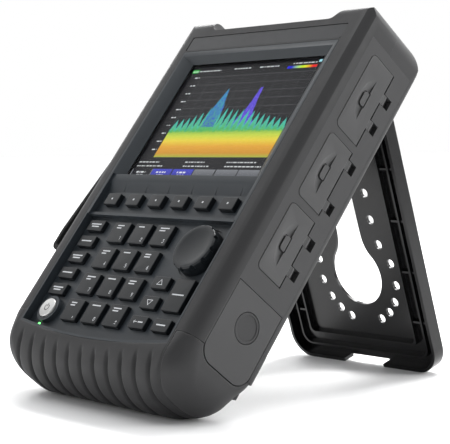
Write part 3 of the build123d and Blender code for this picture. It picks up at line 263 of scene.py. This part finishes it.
def refined(node, finish, edge_mm=0.4, angle=35.0, steps=2):
    """The node's own shape with its sharp edges rounded, standing for the CAD node."""
    mesh = frame["nodes"][node].data.copy()
    shape = bmesh.new()
    shape.from_mesh(mesh)
    bmesh.ops.remove_doubles(shape, verts=shape.verts, dist=1e-6)
    bmesh.ops.dissolve_limit(
        shape,
        angle_limit=math.radians(0.5),
        verts=shape.verts,
        edges=shape.edges,
        delimit={"NORMAL"},
    )
    for face in shape.faces:
        face.smooth = True
    shape.to_mesh(mesh)
    shape.free()
    for layer in ("custom_normal", "sharp_face"):
        if layer in mesh.attributes:
            mesh.attributes.remove(mesh.attributes[layer])
    mesh.materials.clear()
    mesh.materials.append(finish)
    piece = bpy.data.objects.new(node + "_finish", mesh)
    bpy.context.scene.collection.objects.link(piece)
    bevel = piece.modifiers.new("edges", "BEVEL")
    bevel.width = edge_mm / 1000
    bevel.segments = steps
    bevel.limit_method = "ANGLE"
    bevel.angle_limit = math.radians(angle)
    bevel.harden_normals = True
    bevel.use_clamp_overlap = True
    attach(piece, body_of[node])
    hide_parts(node)
    return piece


shell_grey = moulded("shell_grey", (0.022, 0.022, 0.023), 0.50)
rubber_grey = moulded("rubber_grey", (0.020, 0.020, 0.021), 0.52, grain_mm=0.7, grain_depth=0.03)
guard_grey = moulded("guard_grey", (0.024, 0.024, 0.025), 0.46, grain_mm=0.6)
refined("rear_housing", shell_grey, edge_mm=0.5)
refined("front_bumper", rubber_grey, edge_mm=0.6)

# ---------------------------------------------------------------- ribbed nose and corner guards
# The foot of the case is a thick rubber roll whose outside is moulded into upright ribs,
# with a smooth guard over each lower corner. The three meet in one rounded outer surface.
# The ribs start below the bezel's bowed edge and run round under the nose.
nose_radius = 29.0
case_depth = 61.7
case_half = 94.0
corner_radius = 27.0
rib_pitch = 13.6
valley_depth = 1.9
valley_width = 1.25
crown_depth = 0.55
rib_fade = 11.0
nose_skin_mm = 3.2
arc_sag = 5.6
bezel_half = 78.0
bezel_bottom = 32.0
# The rounding between the face and the sides grows from the bumper's to the nose's.
nose_rounding = 17.0
rounding_low = 22.0
rounding_high = 41.0
front_rounding = 11.0
rear_rounding = 6.0
nose_low, nose_high = span("nose_bumper")


def above_surface(places):
    """How far points lie outside the rounded outer surface, in millimetres in the case's frame."""
    x, y, z = places.T
    roll = np.maximum(nose_radius - y, 0)
    extra = (case_depth - 2 * nose_radius) * np.clip((y - nose_radius) / nose_radius, 0, 1)
    behind = z < -nose_radius
    level = z + nose_radius
    level = np.where(behind, level * nose_radius / (nose_radius + extra), level)
    from_roll = np.hypot(roll, level) - nose_radius
    drop = np.clip(corner_radius - y, 0, corner_radius)
    reach = case_half - corner_radius + np.sqrt(corner_radius**2 - drop**2)
    from_side = np.abs(x) - reach
    upper = np.where(behind, rear_rounding, front_rounding)
    ease = np.clip((rounding_high - y) / (rounding_high - rounding_low), 0, 1)
    ease = ease * ease * (3 - 2 * ease)
    rounding = upper + (nose_rounding - upper) * ease
    outside = np.hypot(np.maximum(from_roll + rounding, 0), np.maximum(from_side + rounding, 0))
    return outside + np.minimum(np.maximum(from_roll, from_side) + rounding, 0) - rounding


def slope_at(places):
    """Direction and size of the steepest rise of above_surface at each point."""
    step = 0.02
    rises = []
    for axis in range(3):
        shift = np.zeros(3)
        shift[axis] = step
        rises.append((above_surface(places + shift) - above_surface(places - shift)) / (2 * step))
    return np.stack(rises, axis=1)


def settled(places):
    """The points, with those outside the rounded surface drawn back onto it."""
    for _ in range(5):
        slope = slope_at(places)
        size = np.maximum((slope**2).sum(axis=1), 0.05)
        places = places - slope * (np.maximum(above_surface(places), 0) / size)[:, None]
    return places


def arc_height(x):
    """Height of the bezel's bowed bottom edge at x, in the case's frame."""
    bow_radius = (bezel_half**2 + arc_sag**2) / (2 * arc_sag)
    centre = bezel_bottom - arc_sag + bow_radius
    return centre - math.sqrt(bow_radius**2 - min(abs(x), bezel_half) ** 2)


def nose_point(x, run):
    """A point on the plain roll: run is the way round it from the level of its axis."""
    if run < 0:
        return (x, nose_radius - run, 0.0)
    angle = run / nose_radius
    return (x, nose_radius * (1 - math.sin(angle)), nose_radius * (math.cos(angle) - 1))


def rib_depth(x, travel, left):
    """How far the ribbed surface lies under the plain roll."""
    lean = 1 + 0.0009 * travel
    place = x / lean
    nearest = round(place / rib_pitch) * rib_pitch
    off = abs(place - nearest)
    valley = valley_depth * math.exp(-((off / valley_width) ** 2))
    crown = crown_depth * (1 - min(1.0, 2 * off / rib_pitch)) ** 2
    start = max(0.0, min(1.0, (travel - 3.0) / rib_fade))
    end = max(0.0, min(1.0, left / (2 * rib_fade)))
    side = max(0.0, min(1.0, (nose_high.x - abs(x)) / 5.0))
    ease = start * start * (3 - 2 * start) * end * end * (3 - 2 * end) * side
    return 0.02 + (valley + crown) * ease


def grid_piece(name, rows, finish, body, thickness_mm=0.0):
    """A smooth sheet through rows of points in the case's frame, thickened inwards."""
    wide = len(rows[0])
    corners = [case_place @ point for row in rows for point in row]
    faces = []
    for i in range(len(rows) - 1):
        for j in range(wide - 1):
            first = i * wide + j
            faces.append((first, first + wide, first + wide + 1, first + 1))
    mesh = bpy.data.meshes.new(name)
    mesh.from_pydata(corners, [], faces)
    mesh.shade_smooth()
    mesh.materials.append(finish)
    piece = bpy.data.objects.new(name, mesh)
    bpy.context.scene.collection.objects.link(piece)
    if thickness_mm:
        solid = piece.modifiers.new("skin", "SOLIDIFY")
        solid.thickness = thickness_mm / 1000
        solid.offset = -1.0
    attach(piece, body)
    return piece


round_run = math.pi * nose_radius
columns = 400
round_steps = 90
plain = []
depths = []
for i in range(round_steps + 1):
    for j in range(columns + 1):
        x = nose_low.x + (nose_high.x - nose_low.x) * j / columns
        edge = arc_height(x) if abs(x) < bezel_half else rounding_high
        first = nose_radius - edge - 0.3
        if edge < nose_radius:
            first = nose_radius * math.asin((nose_radius - edge) / nose_radius)
        travel = (round_run - first) * i / round_steps
        plain.append(nose_point(x, first + travel))
        depths.append(rib_depth(x, travel, round_run - first - travel))
smooth = settled(np.array(plain))
slope = slope_at(smooth)
slope /= np.linalg.norm(slope, axis=1)[:, None]
ribbed = smooth - slope * np.array(depths)[:, None]
ribbed = ribbed.reshape(round_steps + 1, columns + 1, 3)
nose_rows = [[Vector(point) for point in row] for row in ribbed]
nose = grid_piece("nose_ribs", nose_rows, rubber_grey, "instrument", nose_skin_mm)
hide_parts("nose_bumper")

guard_voxel = 0.7
for name in ("corner_guard_left", "corner_guard_right"):
    rough_guard = bpy.data.objects.new(name + "_grain", frame["nodes"][name].data.copy())
    bpy.context.scene.collection.objects.link(rough_guard)
    cut = rough_guard.modifiers.new("cut", "REMESH")
    cut.mode = "VOXEL"
    cut.voxel_size = guard_voxel / 1000
    graph = bpy.context.evaluated_depsgraph_get()
    mesh = bpy.data.meshes.new_from_object(rough_guard.evaluated_get(graph))
    bpy.data.objects.remove(rough_guard)
    flat = np.empty(3 * len(mesh.vertices))
    mesh.vertices.foreach_get("co", flat)
    turn = np.array(case_read)
    places = flat.reshape(-1, 3) @ turn[:3, :3].T + turn[:3, 3]
    back = np.array(case_place)
    placed = settled(places) @ back[:3, :3].T + back[:3, 3]
    mesh.vertices.foreach_set("co", placed.ravel())
    mesh.shade_smooth()
    mesh.materials.clear()
    mesh.materials.append(guard_grey)
    guard = bpy.data.objects.new(name + "_finish", mesh)
    bpy.context.scene.collection.objects.link(guard)
    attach(guard, "instrument")
    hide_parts(name)

# ---------------------------------------------------------------- side panels
# Hard cover panels are let into both sides; the right one carries the doors. They are a
# shade lighter than the shell, with a dark line of shadow round them.
panel_grey = moulded("panel_grey", (0.032, 0.032, 0.033), 0.44, grain_mm=0.4, grain_depth=0.012)
refined("side_panel_left", panel_grey, edge_mm=0.3)
refined("side_panel_right", panel_grey, edge_mm=0.3)

# ---------------------------------------------------------------- port doors
# Three light grey doors cover the sockets, each a plate moulded with its knuckles, a
# crescent for the fingertip and a small latch tab. They turn on steel pins.
door_grey = moulded("door_grey", (0.046, 0.046, 0.047), 0.40, grain_mm=0.4, grain_depth=0.012)
for name in ("lower", "middle", "upper"):
    refined("port_door_" + name, door_grey, edge_mm=0.25)

# ---------------------------------------------------------------- battery door, button and pack
# The battery slides in at the side behind a smooth moulded door, which a round dished push
# button unlocks. The door moves on two tongues.
battery_grey = moulded("battery_grey", (0.040, 0.040, 0.041), 0.42, grain_mm=0.4, grain_depth=0.012)
button_grey = moulded("button_grey", (0.026, 0.026, 0.027), 0.5, grain_mm=0.4, grain_depth=0.012)
pack_black = moulded("pack_black", (0.02, 0.02, 0.022), 0.5)
refined("battery_door", battery_grey, edge_mm=0.3)
refined("battery_button", button_grey, edge_mm=0.4)
refined("battery_pack", pack_black, edge_mm=0.5)

# ---------------------------------------------------------------- bezel
# One slate coloured moulding frames the screen, the ledge of the softkeys and the keypad.
# It is let into the front bumper.
bezel_slate = moulded("bezel_slate", (0.020, 0.025, 0.030), 0.40, grain_mm=0.35, grain_depth=0.012)
refined("front_bezel", bezel_slate, edge_mm=0.35)

# ---------------------------------------------------------------- keys
# Every key is a satin block of near black rubbery plastic with a softly rounded top. The
# keys stand in holes of the bezel on a board; the power button is a silvered disc.
key_black = moulded("key_black", (0.0035, 0.0050, 0.0065), 0.38, grain_mm=0.3, grain_depth=0.008)
keys = [name for name, slot in slot_of.items() if slot == "key" and name != "strap_anchors"]
for name in keys:
    refined(name, key_black, edge_mm=0.3)


def silver(name, colour, rough, metallic=1.0):
    """Satin metal with fine turned or brushed streaks."""

    def links(start, where):
        streak = speckle(start, where, 0.4, detail=2.0)
        cloud = speckle(start, where, 6.0)
        dark = tuple(0.88 * c for c in colour)
        return {
            "Base Color": cloud.blend(dark, colour),
            "Roughness": rough + (streak - 0.5) * 0.14,
            "Normal": bumped(start, streak, 0.006),
        }

    return new_finish(name, {"Metallic": metallic}, links)


power_silver = silver("power_silver", (0.62, 0.62, 0.61), 0.3, metallic=0.75)
refined("power_button", power_silver, edge_mm=0.3)

# ---------------------------------------------------------------- legends
# Pale legends are printed on the keys: a digit at the lower right, two short bars where a
# function's name would be, and plain signs on the arrow, enter, back and escape keys.
# Each digit is one line of points, 1 wide and 2 high.
six = (
    (0.8, 2), (0.3, 1.5), (0, 0.8), (0, 0.3), (0.25, 0),
    (0.75, 0), (1, 0.3), (1, 0.8), (0.75, 1.1), (0.2, 1.0),
)
digit_lines = {
    "0": ((0.3, 0), (0.7, 0), (1, 0.4), (1, 1.6), (0.7, 2), (0.3, 2), (0, 1.6), (0, 0.4), (0.3, 0)),
    "1": ((0.15, 1.6), (0.6, 2), (0.6, 0)),
    "2": ((0, 1.6), (0.3, 2), (0.75, 2), (1, 1.65), (1, 1.3), (0, 0), (1, 0)),
    "3": ((0, 2), (1, 2), (0.45, 1.15), (0.8, 1.1), (1, 0.8), (1, 0.3), (0.7, 0), (0.2, 0), (0, 0.3)),
    "4": ((0.75, 0), (0.75, 2), (0, 0.6), (1, 0.6)),
    "5": (
        (0.95, 2), (0.1, 2), (0.05, 1.15), (0.65, 1.25), (1, 0.95),
        (1, 0.35), (0.7, 0), (0.2, 0), (0, 0.25),
    ),
    "6": six,
    "7": ((0, 2), (1, 2), (0.35, 0)),
    "8": (
        (0.25, 1.05), (0, 1.5), (0.3, 2), (0.7, 2), (1, 1.5), (0.75, 1.05),
        (0.25, 1.05), (0, 0.5), (0.3, 0), (0.7, 0), (1, 0.5), (0.75, 1.05),
    ),
    "9": tuple((1 - x, 2 - y) for x, y in six),
}
digit_height = 2.5
digit_stroke = 0.34
sign_stroke = 0.42
bar_stroke = 0.85
dot_radius = 0.75
printed = 0.03
layer_step = 0.0004


def stroke(points, width):
    """Rectangles along a line of points, one for each stretch, that overlap at the bends."""
    shapes = []
    for (x0, y0), (x1, y1) in zip(points, points[1:]):
        length = math.hypot(x1 - x0, y1 - y0)
        dx, dy = (x1 - x0) / length * width / 2, (y1 - y0) / length * width / 2
        x0, y0, x1, y1 = x0 - dx, y0 - dy, x1 + dx, y1 + dy
        right_side = [(x0 + dy, y0 - dx), (x1 + dy, y1 - dx)]
        left_side = [(x1 - dy, y1 + dx), (x0 - dy, y0 + dx)]
        shapes.append(right_side + left_side)
    return shapes


def print_on(name, shapes, finish, body, height):
    """Flat printed shapes on a face at that height above the case's front, in its frame."""
    mesh = bpy.data.meshes.new(name)
    corners = []
    faces = []
    for index, shape in enumerate(shapes):
        faces.append(tuple(range(len(corners), len(corners) + len(shape))))
        level = height + layer_step * (index % 5)
        corners += [case_place @ Vector((x, y, level)) for x, y in shape]
    mesh.from_pydata(corners, [], faces)
    mesh.materials.append(finish)
    piece = bpy.data.objects.new(name, mesh)
    bpy.context.scene.collection.objects.link(piece)
    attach(piece, body)
    return piece


def ink(name, colour):
    """Screen-printed ink, slightly uneven."""

    def links(start, where):
        cloud = speckle(start, where, 1.2)
        return {
            "Base Color": cloud.blend(tuple(0.8 * c for c in colour), colour),
            "Roughness": 0.45 + cloud * 0.2,
            "Normal": bumped(start, cloud, 0.004),
        }

    return new_finish(name, {}, links)


pale_ink = ink("pale_ink", (0.62, 0.64, 0.66))
grey_ink = ink("grey_ink", (0.30, 0.31, 0.33))
dark_ink = ink("dark_ink", (0.02, 0.02, 0.02))
for order, name in enumerate(keys):
    low, high = span(name)
    middle = (low + high) / 2
    width, height = high.x - low.x, high.y - low.y
    shapes = []
    dot = []
    if name.startswith("softkey"):
        for turn in range(16):
            angle = 2 * math.pi * turn / 16
            dot_x = middle.x + dot_radius * math.cos(angle)
            dot.append((dot_x, middle.y + dot_radius * math.sin(angle)))
        shapes.append(dot)
    elif name in ("key_up", "key_down"):
        sign = 1 if name == "key_up" else -1
        tip = (middle.x, middle.y + sign * 2.0)
        base = middle.y - sign * 1.6
        outline = (tip, (middle.x - 2.5, base), (middle.x + 2.5, base), tip)
        shapes += stroke(outline, sign_stroke)
    elif name == "key_back":
        tip = (middle.x - 4, middle.y)
        barbs = ((middle.x - 3, middle.y + 0.9), tip, (middle.x - 3, middle.y - 0.9))
        shapes += stroke((tip, (middle.x - 1, middle.y)), sign_stroke)
        shapes += stroke(barbs, sign_stroke)
        shapes += stroke(((middle.x + 0.6, middle.y), (middle.x + 4.4, middle.y)), 0.9)
    elif name[4:] in digit_lines or name in ("key_point", "key_sign"):
        # Bars of uneven length stand above the digit, one or two to a key.
        top = high.y - 3.6
        left = low.x + 5.2
        shapes += stroke(((left, top), (left + 5.0 + (order * 7) % 4, top)), bar_stroke)
        if order % 3:
            under = top - 1.9
            shapes += stroke(((left, under), (left + 3.0 + (order * 5) % 3, under)), bar_stroke)
        x0, y0 = high.x - 5.0, low.y + 2.8
        scale = digit_height / 2
        if name[4:] in digit_lines:
            line = [(x0 + x * scale, y0 + y * scale) for x, y in digit_lines[name[4:]]]
            shapes += stroke(line, digit_stroke)
        elif name == "key_point":
            shapes += stroke(((x0 + 0.6, y0), (x0 + 0.6, y0 + 0.6)), 0.6)
        else:
            shapes += stroke(((x0 - 0.2, y0 + 1.7), (x0 + 1.2, y0 + 1.7)), digit_stroke)
            shapes += stroke(((x0 + 0.5, y0 + 1.0), (x0 + 0.5, y0 + 2.4)), digit_stroke)
            shapes += stroke(((x0 - 0.2, y0 + 0.1), (x0 + 1.2, y0 + 0.1)), digit_stroke)
    else:
        reach = width * (0.22 if name == "key_escape" else 0.27)
        lift = 0.0 if name in ("key_escape", "key_enter") or order % 2 else 0.95
        upper, under = middle.y + lift, middle.y - lift
        shapes += stroke(((middle.x - reach, upper), (middle.x + reach, upper)), 0.9)
        if lift:
            shapes += stroke(((middle.x - 0.7 * reach, under), (middle.x + 0.7 * reach, under)), 0.9)
    print_on(name + "_legend", shapes, pale_ink, body_of[name], high.z + printed)

low, high = span("power_button")
middle = (low + high) / 2
turns = [math.radians(50 - 280 * i / 24) for i in range(25)]
sign_arc = [(middle.x + 2.1 * math.cos(t), middle.y + 2.1 * math.sin(t)) for t in turns]
power_lines = stroke(sign_arc, 0.6)
power_lines += stroke(((middle.x, middle.y + 0.9), (middle.x, middle.y + 2.8)), 0.6)
print_on("power_sign", power_lines, dark_ink, "power_button", high.z + printed)


# ---------------------------------------------------------------- status light
# A short green light pipe stands in the keypad's floor below the power button. It glows
# while the instrument is on.
def glow_links(start, where):
    core = speckle(start, where, 0.8)
    return {
        "Base Color": core.blend((0.02, 0.3, 0.04), (0.05, 0.5, 0.08)),
        "Emission Color": core.blend((0.10, 1.0, 0.16), (0.25, 1.0, 0.3)),
        "Roughness": 0.3 + core * 0.15,
        "Normal": bumped(start, core, 0.01),
    }


green_glow = new_finish("green_glow", {"Emission Strength": 2.5}, glow_links)
refined("status_light", green_glow, edge_mm=0.15)

# ---------------------------------------------------------------- screen
# A 6.5-inch colour display lies behind a clear window. Its picture is a spectrum plot over
# a grid, with rows of unreadable dashes where writing would be, and six soft key labels.
screen_half = 66.24
screen_low = 155.0
screen_high = 254.36
plot_left, plot_right = -51.6, 64.1
plot_low, plot_high = 173.3, 244.3
cell = 0.42
across = int(2 * screen_half / cell)
upward = int((screen_high - screen_low) / cell)
grid_x, grid_y = np.meshgrid(
    np.linspace(-screen_half, screen_half, across + 1),
    np.linspace(screen_low, screen_high, upward + 1),
)
picture = np.zeros((*grid_x.shape, 3)) + (0.0015, 0.0015, 0.003)
chance = np.random.default_rng(7)


def paint(where, colour):
    """Gives the picture's points that a mask picks a colour, or each its own."""
    picture[where] = colour if np.ndim(colour) == 1 else colour[where]


def inside(left, low, right, high):
    return (grid_x >= left) & (grid_x <= right) & (grid_y >= low) & (grid_y <= high)


def dashes(left, low, right, height, seed):
    """A row of short dashes of uneven length."""
    random = np.random.default_rng(seed)
    x = left
    while x < right:
        length = random.uniform(1.0, 3.4)
        paint(inside(x, low, min(x + length, right), low + height), (0.75, 0.78, 0.8))
        x += length + random.uniform(0.8, 1.3)


label_width = 2 * screen_half / 6
label_high = screen_low + 8.4
for index in range(6):
    left = -screen_half + index * label_width
    shade = np.clip((grid_y - screen_low) / 8.4, 0, 1)[..., None]
    fill = shade * (0.20, 0.21, 0.23) + (1 - shade) * (0.05, 0.055, 0.065)
    if index in (1, 2):
        fill = shade * (0.05, 0.06, 0.55) + (1 - shade) * (0.02, 0.02, 0.25)
    if index == 0:
        fill = shade * 0 + (0.004, 0.004, 0.008)
        paint(inside(left, screen_low, left + label_width, label_high), (0.35, 0.37, 0.4))
    paint(inside(left + 0.5, screen_low + 0.4, left + label_width - 0.5, label_high), fill)
    if index < 3:
        dashes(left + 5.5, screen_low + 5.0, left + 15.5, 0.9, index)
        dashes(left + 7.0, screen_low + 2.6, left + 14.0, 0.9, index + 10)
for group, (left, right) in enumerate(((-64.0, -36.0), (-14.0, 12.0), (28.0, 63.0))):
    for line, low in enumerate((165.4, 168.5)):
        dashes(left, low, right - 6.0 * line, 0.95, 20 + 2 * group + line)

along = np.clip((grid_x - plot_left) / (plot_right - plot_left), 0, 1)
rise = (grid_y - plot_low) / (plot_high - plot_low)
plot = inside(plot_left, plot_low, plot_right, plot_high)
for index in range(11):
    line_x = plot_left + (plot_right - plot_left) * index / 10
    line_y = plot_low + (plot_high - plot_low) * index / 10
    paint(plot & (np.abs(grid_x - line_x) < cell / 2), (0.05, 0.055, 0.06))
    paint(plot & (np.abs(grid_y - line_y) < cell / 2), (0.05, 0.055, 0.06))
    if index:
        dashes(-58.5, line_y - 0.8, -53.5, 0.8, 40 + index)
jitter = chance.uniform(-1, 1, grid_x.shape)
column_jitter = chance.uniform(-1, 1, grid_x.shape[1])[None, :]
floor_top = 0.31 + 0.015 * column_jitter
lobe = 1 - np.abs(2 * ((along * 20) % 1) - 1)
# The green lobes are tallest at one place and the violet spike stands at another.
main_place = 0.33
spike_place = 0.62
from_main = np.abs(along - main_place)
from_spike = np.abs(along - spike_place)
tall = 0.44 + 0.25 * np.exp(-from_main / 0.12) + 0.10 * np.exp(-((from_spike / 0.22) ** 2))
side_lobes = floor_top + (np.minimum(tall, 0.70) - floor_top) * (0.15 + 0.85 * lobe**0.8)
main_lobe = 0.84 - 5.5 * from_main
side_lobes = np.where(from_main < 0.07, np.maximum(side_lobes, main_lobe), side_lobes)
spike = floor_top + 0.52 * np.exp(-from_spike / 0.022) + 0.22 * np.exp(-from_spike / 0.11)
spike = np.minimum(spike, 0.83)
violet = np.stack([0.10 + 0.08 * jitter, 0.06 + 0.03 * jitter, 0.62 + 0.2 * jitter], axis=-1)
paint(plot & (rise < spike), violet)
height_in = np.clip((rise - 0.3) / np.maximum(side_lobes - 0.3, 0.02), 0, 1)[..., None]
green = height_in * (0.05, 0.62, 0.55) + (1 - height_in) * (0.10, 0.55, 0.10)
core = (from_main < 0.055) & (rise > 0.36) & (jitter > -0.1)
green = np.where(core[..., None], np.array((0.02, 0.08, 0.62)), green)
paint(plot & (rise < side_lobes), green * (0.8 + 0.2 * jitter[..., None]))
bands = (
    (0.0, (0.42, 0.50, 0.05)),
    (0.05, (0.70, 0.32, 0.02)),
    (0.13, (0.85, 0.42, 0.03)),
    (0.20, (0.90, 0.72, 0.05)),
    (0.26, (0.62, 0.75, 0.06)),
    (0.33, (0.12, 0.50, 0.08)),
)
levels = [level for level, _ in bands]
warm = np.stack([np.interp(rise, levels, [band[i] for _, band in bands]) for i in range(3)], axis=-1)
paint(plot & (rise < floor_top), warm * (0.9 + 0.1 * jitter[..., None]))
bar = inside(34.0, 247.4, 62.0, 249.6)
hue = np.clip((grid_x - 34.0) / 28.0, 0, 1)
bar_red = np.clip(2 * hue - 0.3, 0, 1)
bar_green = np.clip(1.4 - np.abs(4 * hue - 2), 0, 1)
bar_blue = np.clip(1 - 2 * hue, 0, 1)
rainbow = np.stack([bar_red, bar_green, bar_blue], axis=-1)
paint(bar, rainbow * 0.8)
paint(inside(-65.0, 248.6, -58.5, 251.6), (0.03, 0.5, 0.06))
dashes(-64.3, 249.6, -59.0, 0.9, 61)
dashes(-57.0, 249.6, -34.0, 0.9, 62)
dashes(-20.0, 250.0, -2.0, 0.9, 63)
dashes(6.0, 250.0, 26.0, 0.9, 64)
dashes(38.0, 251.2, 60.0, 0.8, 65)
paint(inside(61.5, 251.6, 65.5, 253.6), (0.35, 0.75, 0.85))


def panel_links(start, where):
    colour = start.node("Attribute", {"attribute_name": "picture"}, {})
    grain = speckle(start, where, 0.3)
    return {
        "Base Color": (grain * 0.01).blend((0.004, 0.004, 0.005), (0.01, 0.01, 0.01)),
        "Emission Color": colour,
        "Roughness": 0.30 + grain * 0.1,
        "Normal": bumped(start, grain, 0.002),
    }


lit_constants = {"Emission Strength": 1.0, "Specular IOR Level": 0.1}
lit_screen = new_finish("lit_screen", lit_constants, panel_links)
refined("lcd_panel", moulded("lcd_black", (0.004, 0.004, 0.005), 0.4), edge_mm=0.2)
picture_height = span("lcd_panel")[1].z + 0.05
picture_rows = []
for row_x, row_y in zip(grid_x, grid_y):
    picture_rows.append([Vector((x, y, picture_height)) for x, y in zip(row_x, row_y)])
lit = grid_piece("screen_picture", picture_rows, lit_screen, "instrument")
tint = lit.data.color_attributes.new("picture", "FLOAT_COLOR", "POINT")
channels = np.concatenate([picture.reshape(-1, 3), np.ones((picture.size // 3, 1))], axis=1)
tint.data.foreach_set("color", np.clip(channels, 0, 1).ravel())


def window_links(start, where):
    smear = speckle(start, where, 9.0, detail=4.0)
    return {"Roughness": 0.10 + smear * 0.12, "Normal": bumped(start, smear, 0.003)}


window_constants = {"Base Color": (0.02, 0.02, 0.02, 1.0), "Alpha": 0.05, "Specular IOR Level": 0.3}
refined("display_glass", new_finish("window_clear", window_constants, window_links), edge_mm=0.2)

# ---------------------------------------------------------------- tuning knob
# A wide rubber coated knob with notches round its rim and a dished top for one finger. It
# turns on the encoder's shaft.
knob_rubber = moulded("knob_rubber", (0.006, 0.008, 0.010), 0.42, grain_mm=0.4)
refined("tuning_knob", knob_rubber, edge_mm=0.5, steps=3)

# ---------------------------------------------------------------- kickstand
# A folding stand moulded in glossy black plastic: a tray with a tall rim and ribs inside,
# and a keyhole for hanging. It turns on two pins at the top of the case's back.
stand_black = moulded("stand_black", (0.004, 0.004, 0.0045), 0.22, grain_mm=1.4, grain_depth=0.01)
refined("kickstand", stand_black, edge_mm=0.4)

# ---------------------------------------------------------------- plates, metal parts and boards
# The nameplate and the panel round the connectors are hard dark plastic. Screws, pins and
# the encoder are steel, the connectors are nickel plated, and the boards are lacquered. The
# strap's two anchors are black plastic.
plate_grey = moulded("plate_grey", (0.012, 0.013, 0.015), 0.38)
steel = silver("steel", (0.55, 0.55, 0.56), 0.28)
nickel = silver("nickel", (0.66, 0.65, 0.62), 0.2)
board_green = moulded("board_green", (0.01, 0.07, 0.03), 0.35)
refined("nameplate", plate_grey, edge_mm=0.15)
refined("top_panel", plate_grey, edge_mm=0.2)
for name in ("case_screws", "hinge_pins", "encoder"):
    refined(name, steel, edge_mm=0.1)
for name in ("rf_ports", "coax_ports", "port_sockets"):
    refined(name, nickel, edge_mm=0.1)
for name in ("keypad_board", "main_board"):
    refined(name, board_green, edge_mm=0.1)
refined("strap_anchors", key_black, edge_mm=0.3)

# ---------------------------------------------------------------- hand strap
# A flat band of woven black webbing runs along the left side, stitched back on itself at
# both ends round the bars of the two anchors.
def webbing_links(start, where):
    threads = {"Vector": where, "Distortion": 0.6}
    weft = start.node("TexWave", {"bands_direction": "X"}, {**threads, "Scale": 420.0})
    warp = start.node("TexWave", {"bands_direction": "Y"}, {**threads, "Scale": 300.0})
    fuzz = speckle(start, where, 0.5)
    weave = (weft + warp) * 0.4 + fuzz * 0.2
    return {
        "Base Color": weave.blend((0.003, 0.003, 0.003), (0.012, 0.012, 0.012)),
        "Roughness": 0.62 + fuzz * 0.2,
        "Normal": bumped(start, weave, 0.25),
    }


black_webbing = new_finish("black_webbing", {"Specular IOR Level": 0.25}, webbing_links)
refined("hand_strap", black_webbing, edge_mm=0.8, steps=3)
strap_low_corner, strap_high_corner = span("hand_strap")
thread_size = (1.5, 0.35, 0.5)
thread_pitch = 2.3
thread_count = 11
strap_middle = (strap_low_corner.z + strap_high_corner.z) / 2
stitches = bmesh.new()
strap_mesh = frame["nodes"]["hand_strap"].data
strap_corners = [v.co for v in strap_mesh.vertices]
strap_faces = BVHTree.FromPolygons(strap_corners, [p.vertices for p in strap_mesh.polygons])
toward = (case_turn.to_3x3() @ Vector((1, 0, 0))).normalized()
thread_wide, thread_deep, thread_long = (thread_size[i] / 1000 for i in (1, 2, 0))
thread_scale = Matrix.Diagonal((thread_wide, thread_deep, thread_long, 1.0))
thread_turn = case_turn.to_3x3().to_4x4() @ thread_scale
for drop in (9.0, 12.0, 24.0):
    for index in range(thread_count):
        z = strap_middle + (index - (thread_count - 1) / 2) * thread_pitch
        start_point = case_place @ Vector((strap_low_corner.x - 20.0, strap_high_corner.y - drop, z))
        place = strap_faces.ray_cast(start_point, toward)[0]
        if place:
            made = bmesh.ops.create_cube(stitches, size=1.0)["verts"]
            bmesh.ops.transform(stitches, matrix=Matrix.Translation(place) @ thread_turn, verts=made)
stitch_mesh = bpy.data.meshes.new("strap_stitches")
stitches.to_mesh(stitch_mesh)
stitches.free()
stitch_mesh.materials.append(grey_ink)
stitching = bpy.data.objects.new("strap_stitches", stitch_mesh)
bpy.context.scene.collection.objects.link(stitching)
rounded_thread = stitching.modifiers.new("round", "BEVEL")
rounded_thread.width = 0.00012
rounded_thread.segments = 2
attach(stitching, body_of["hand_strap"])
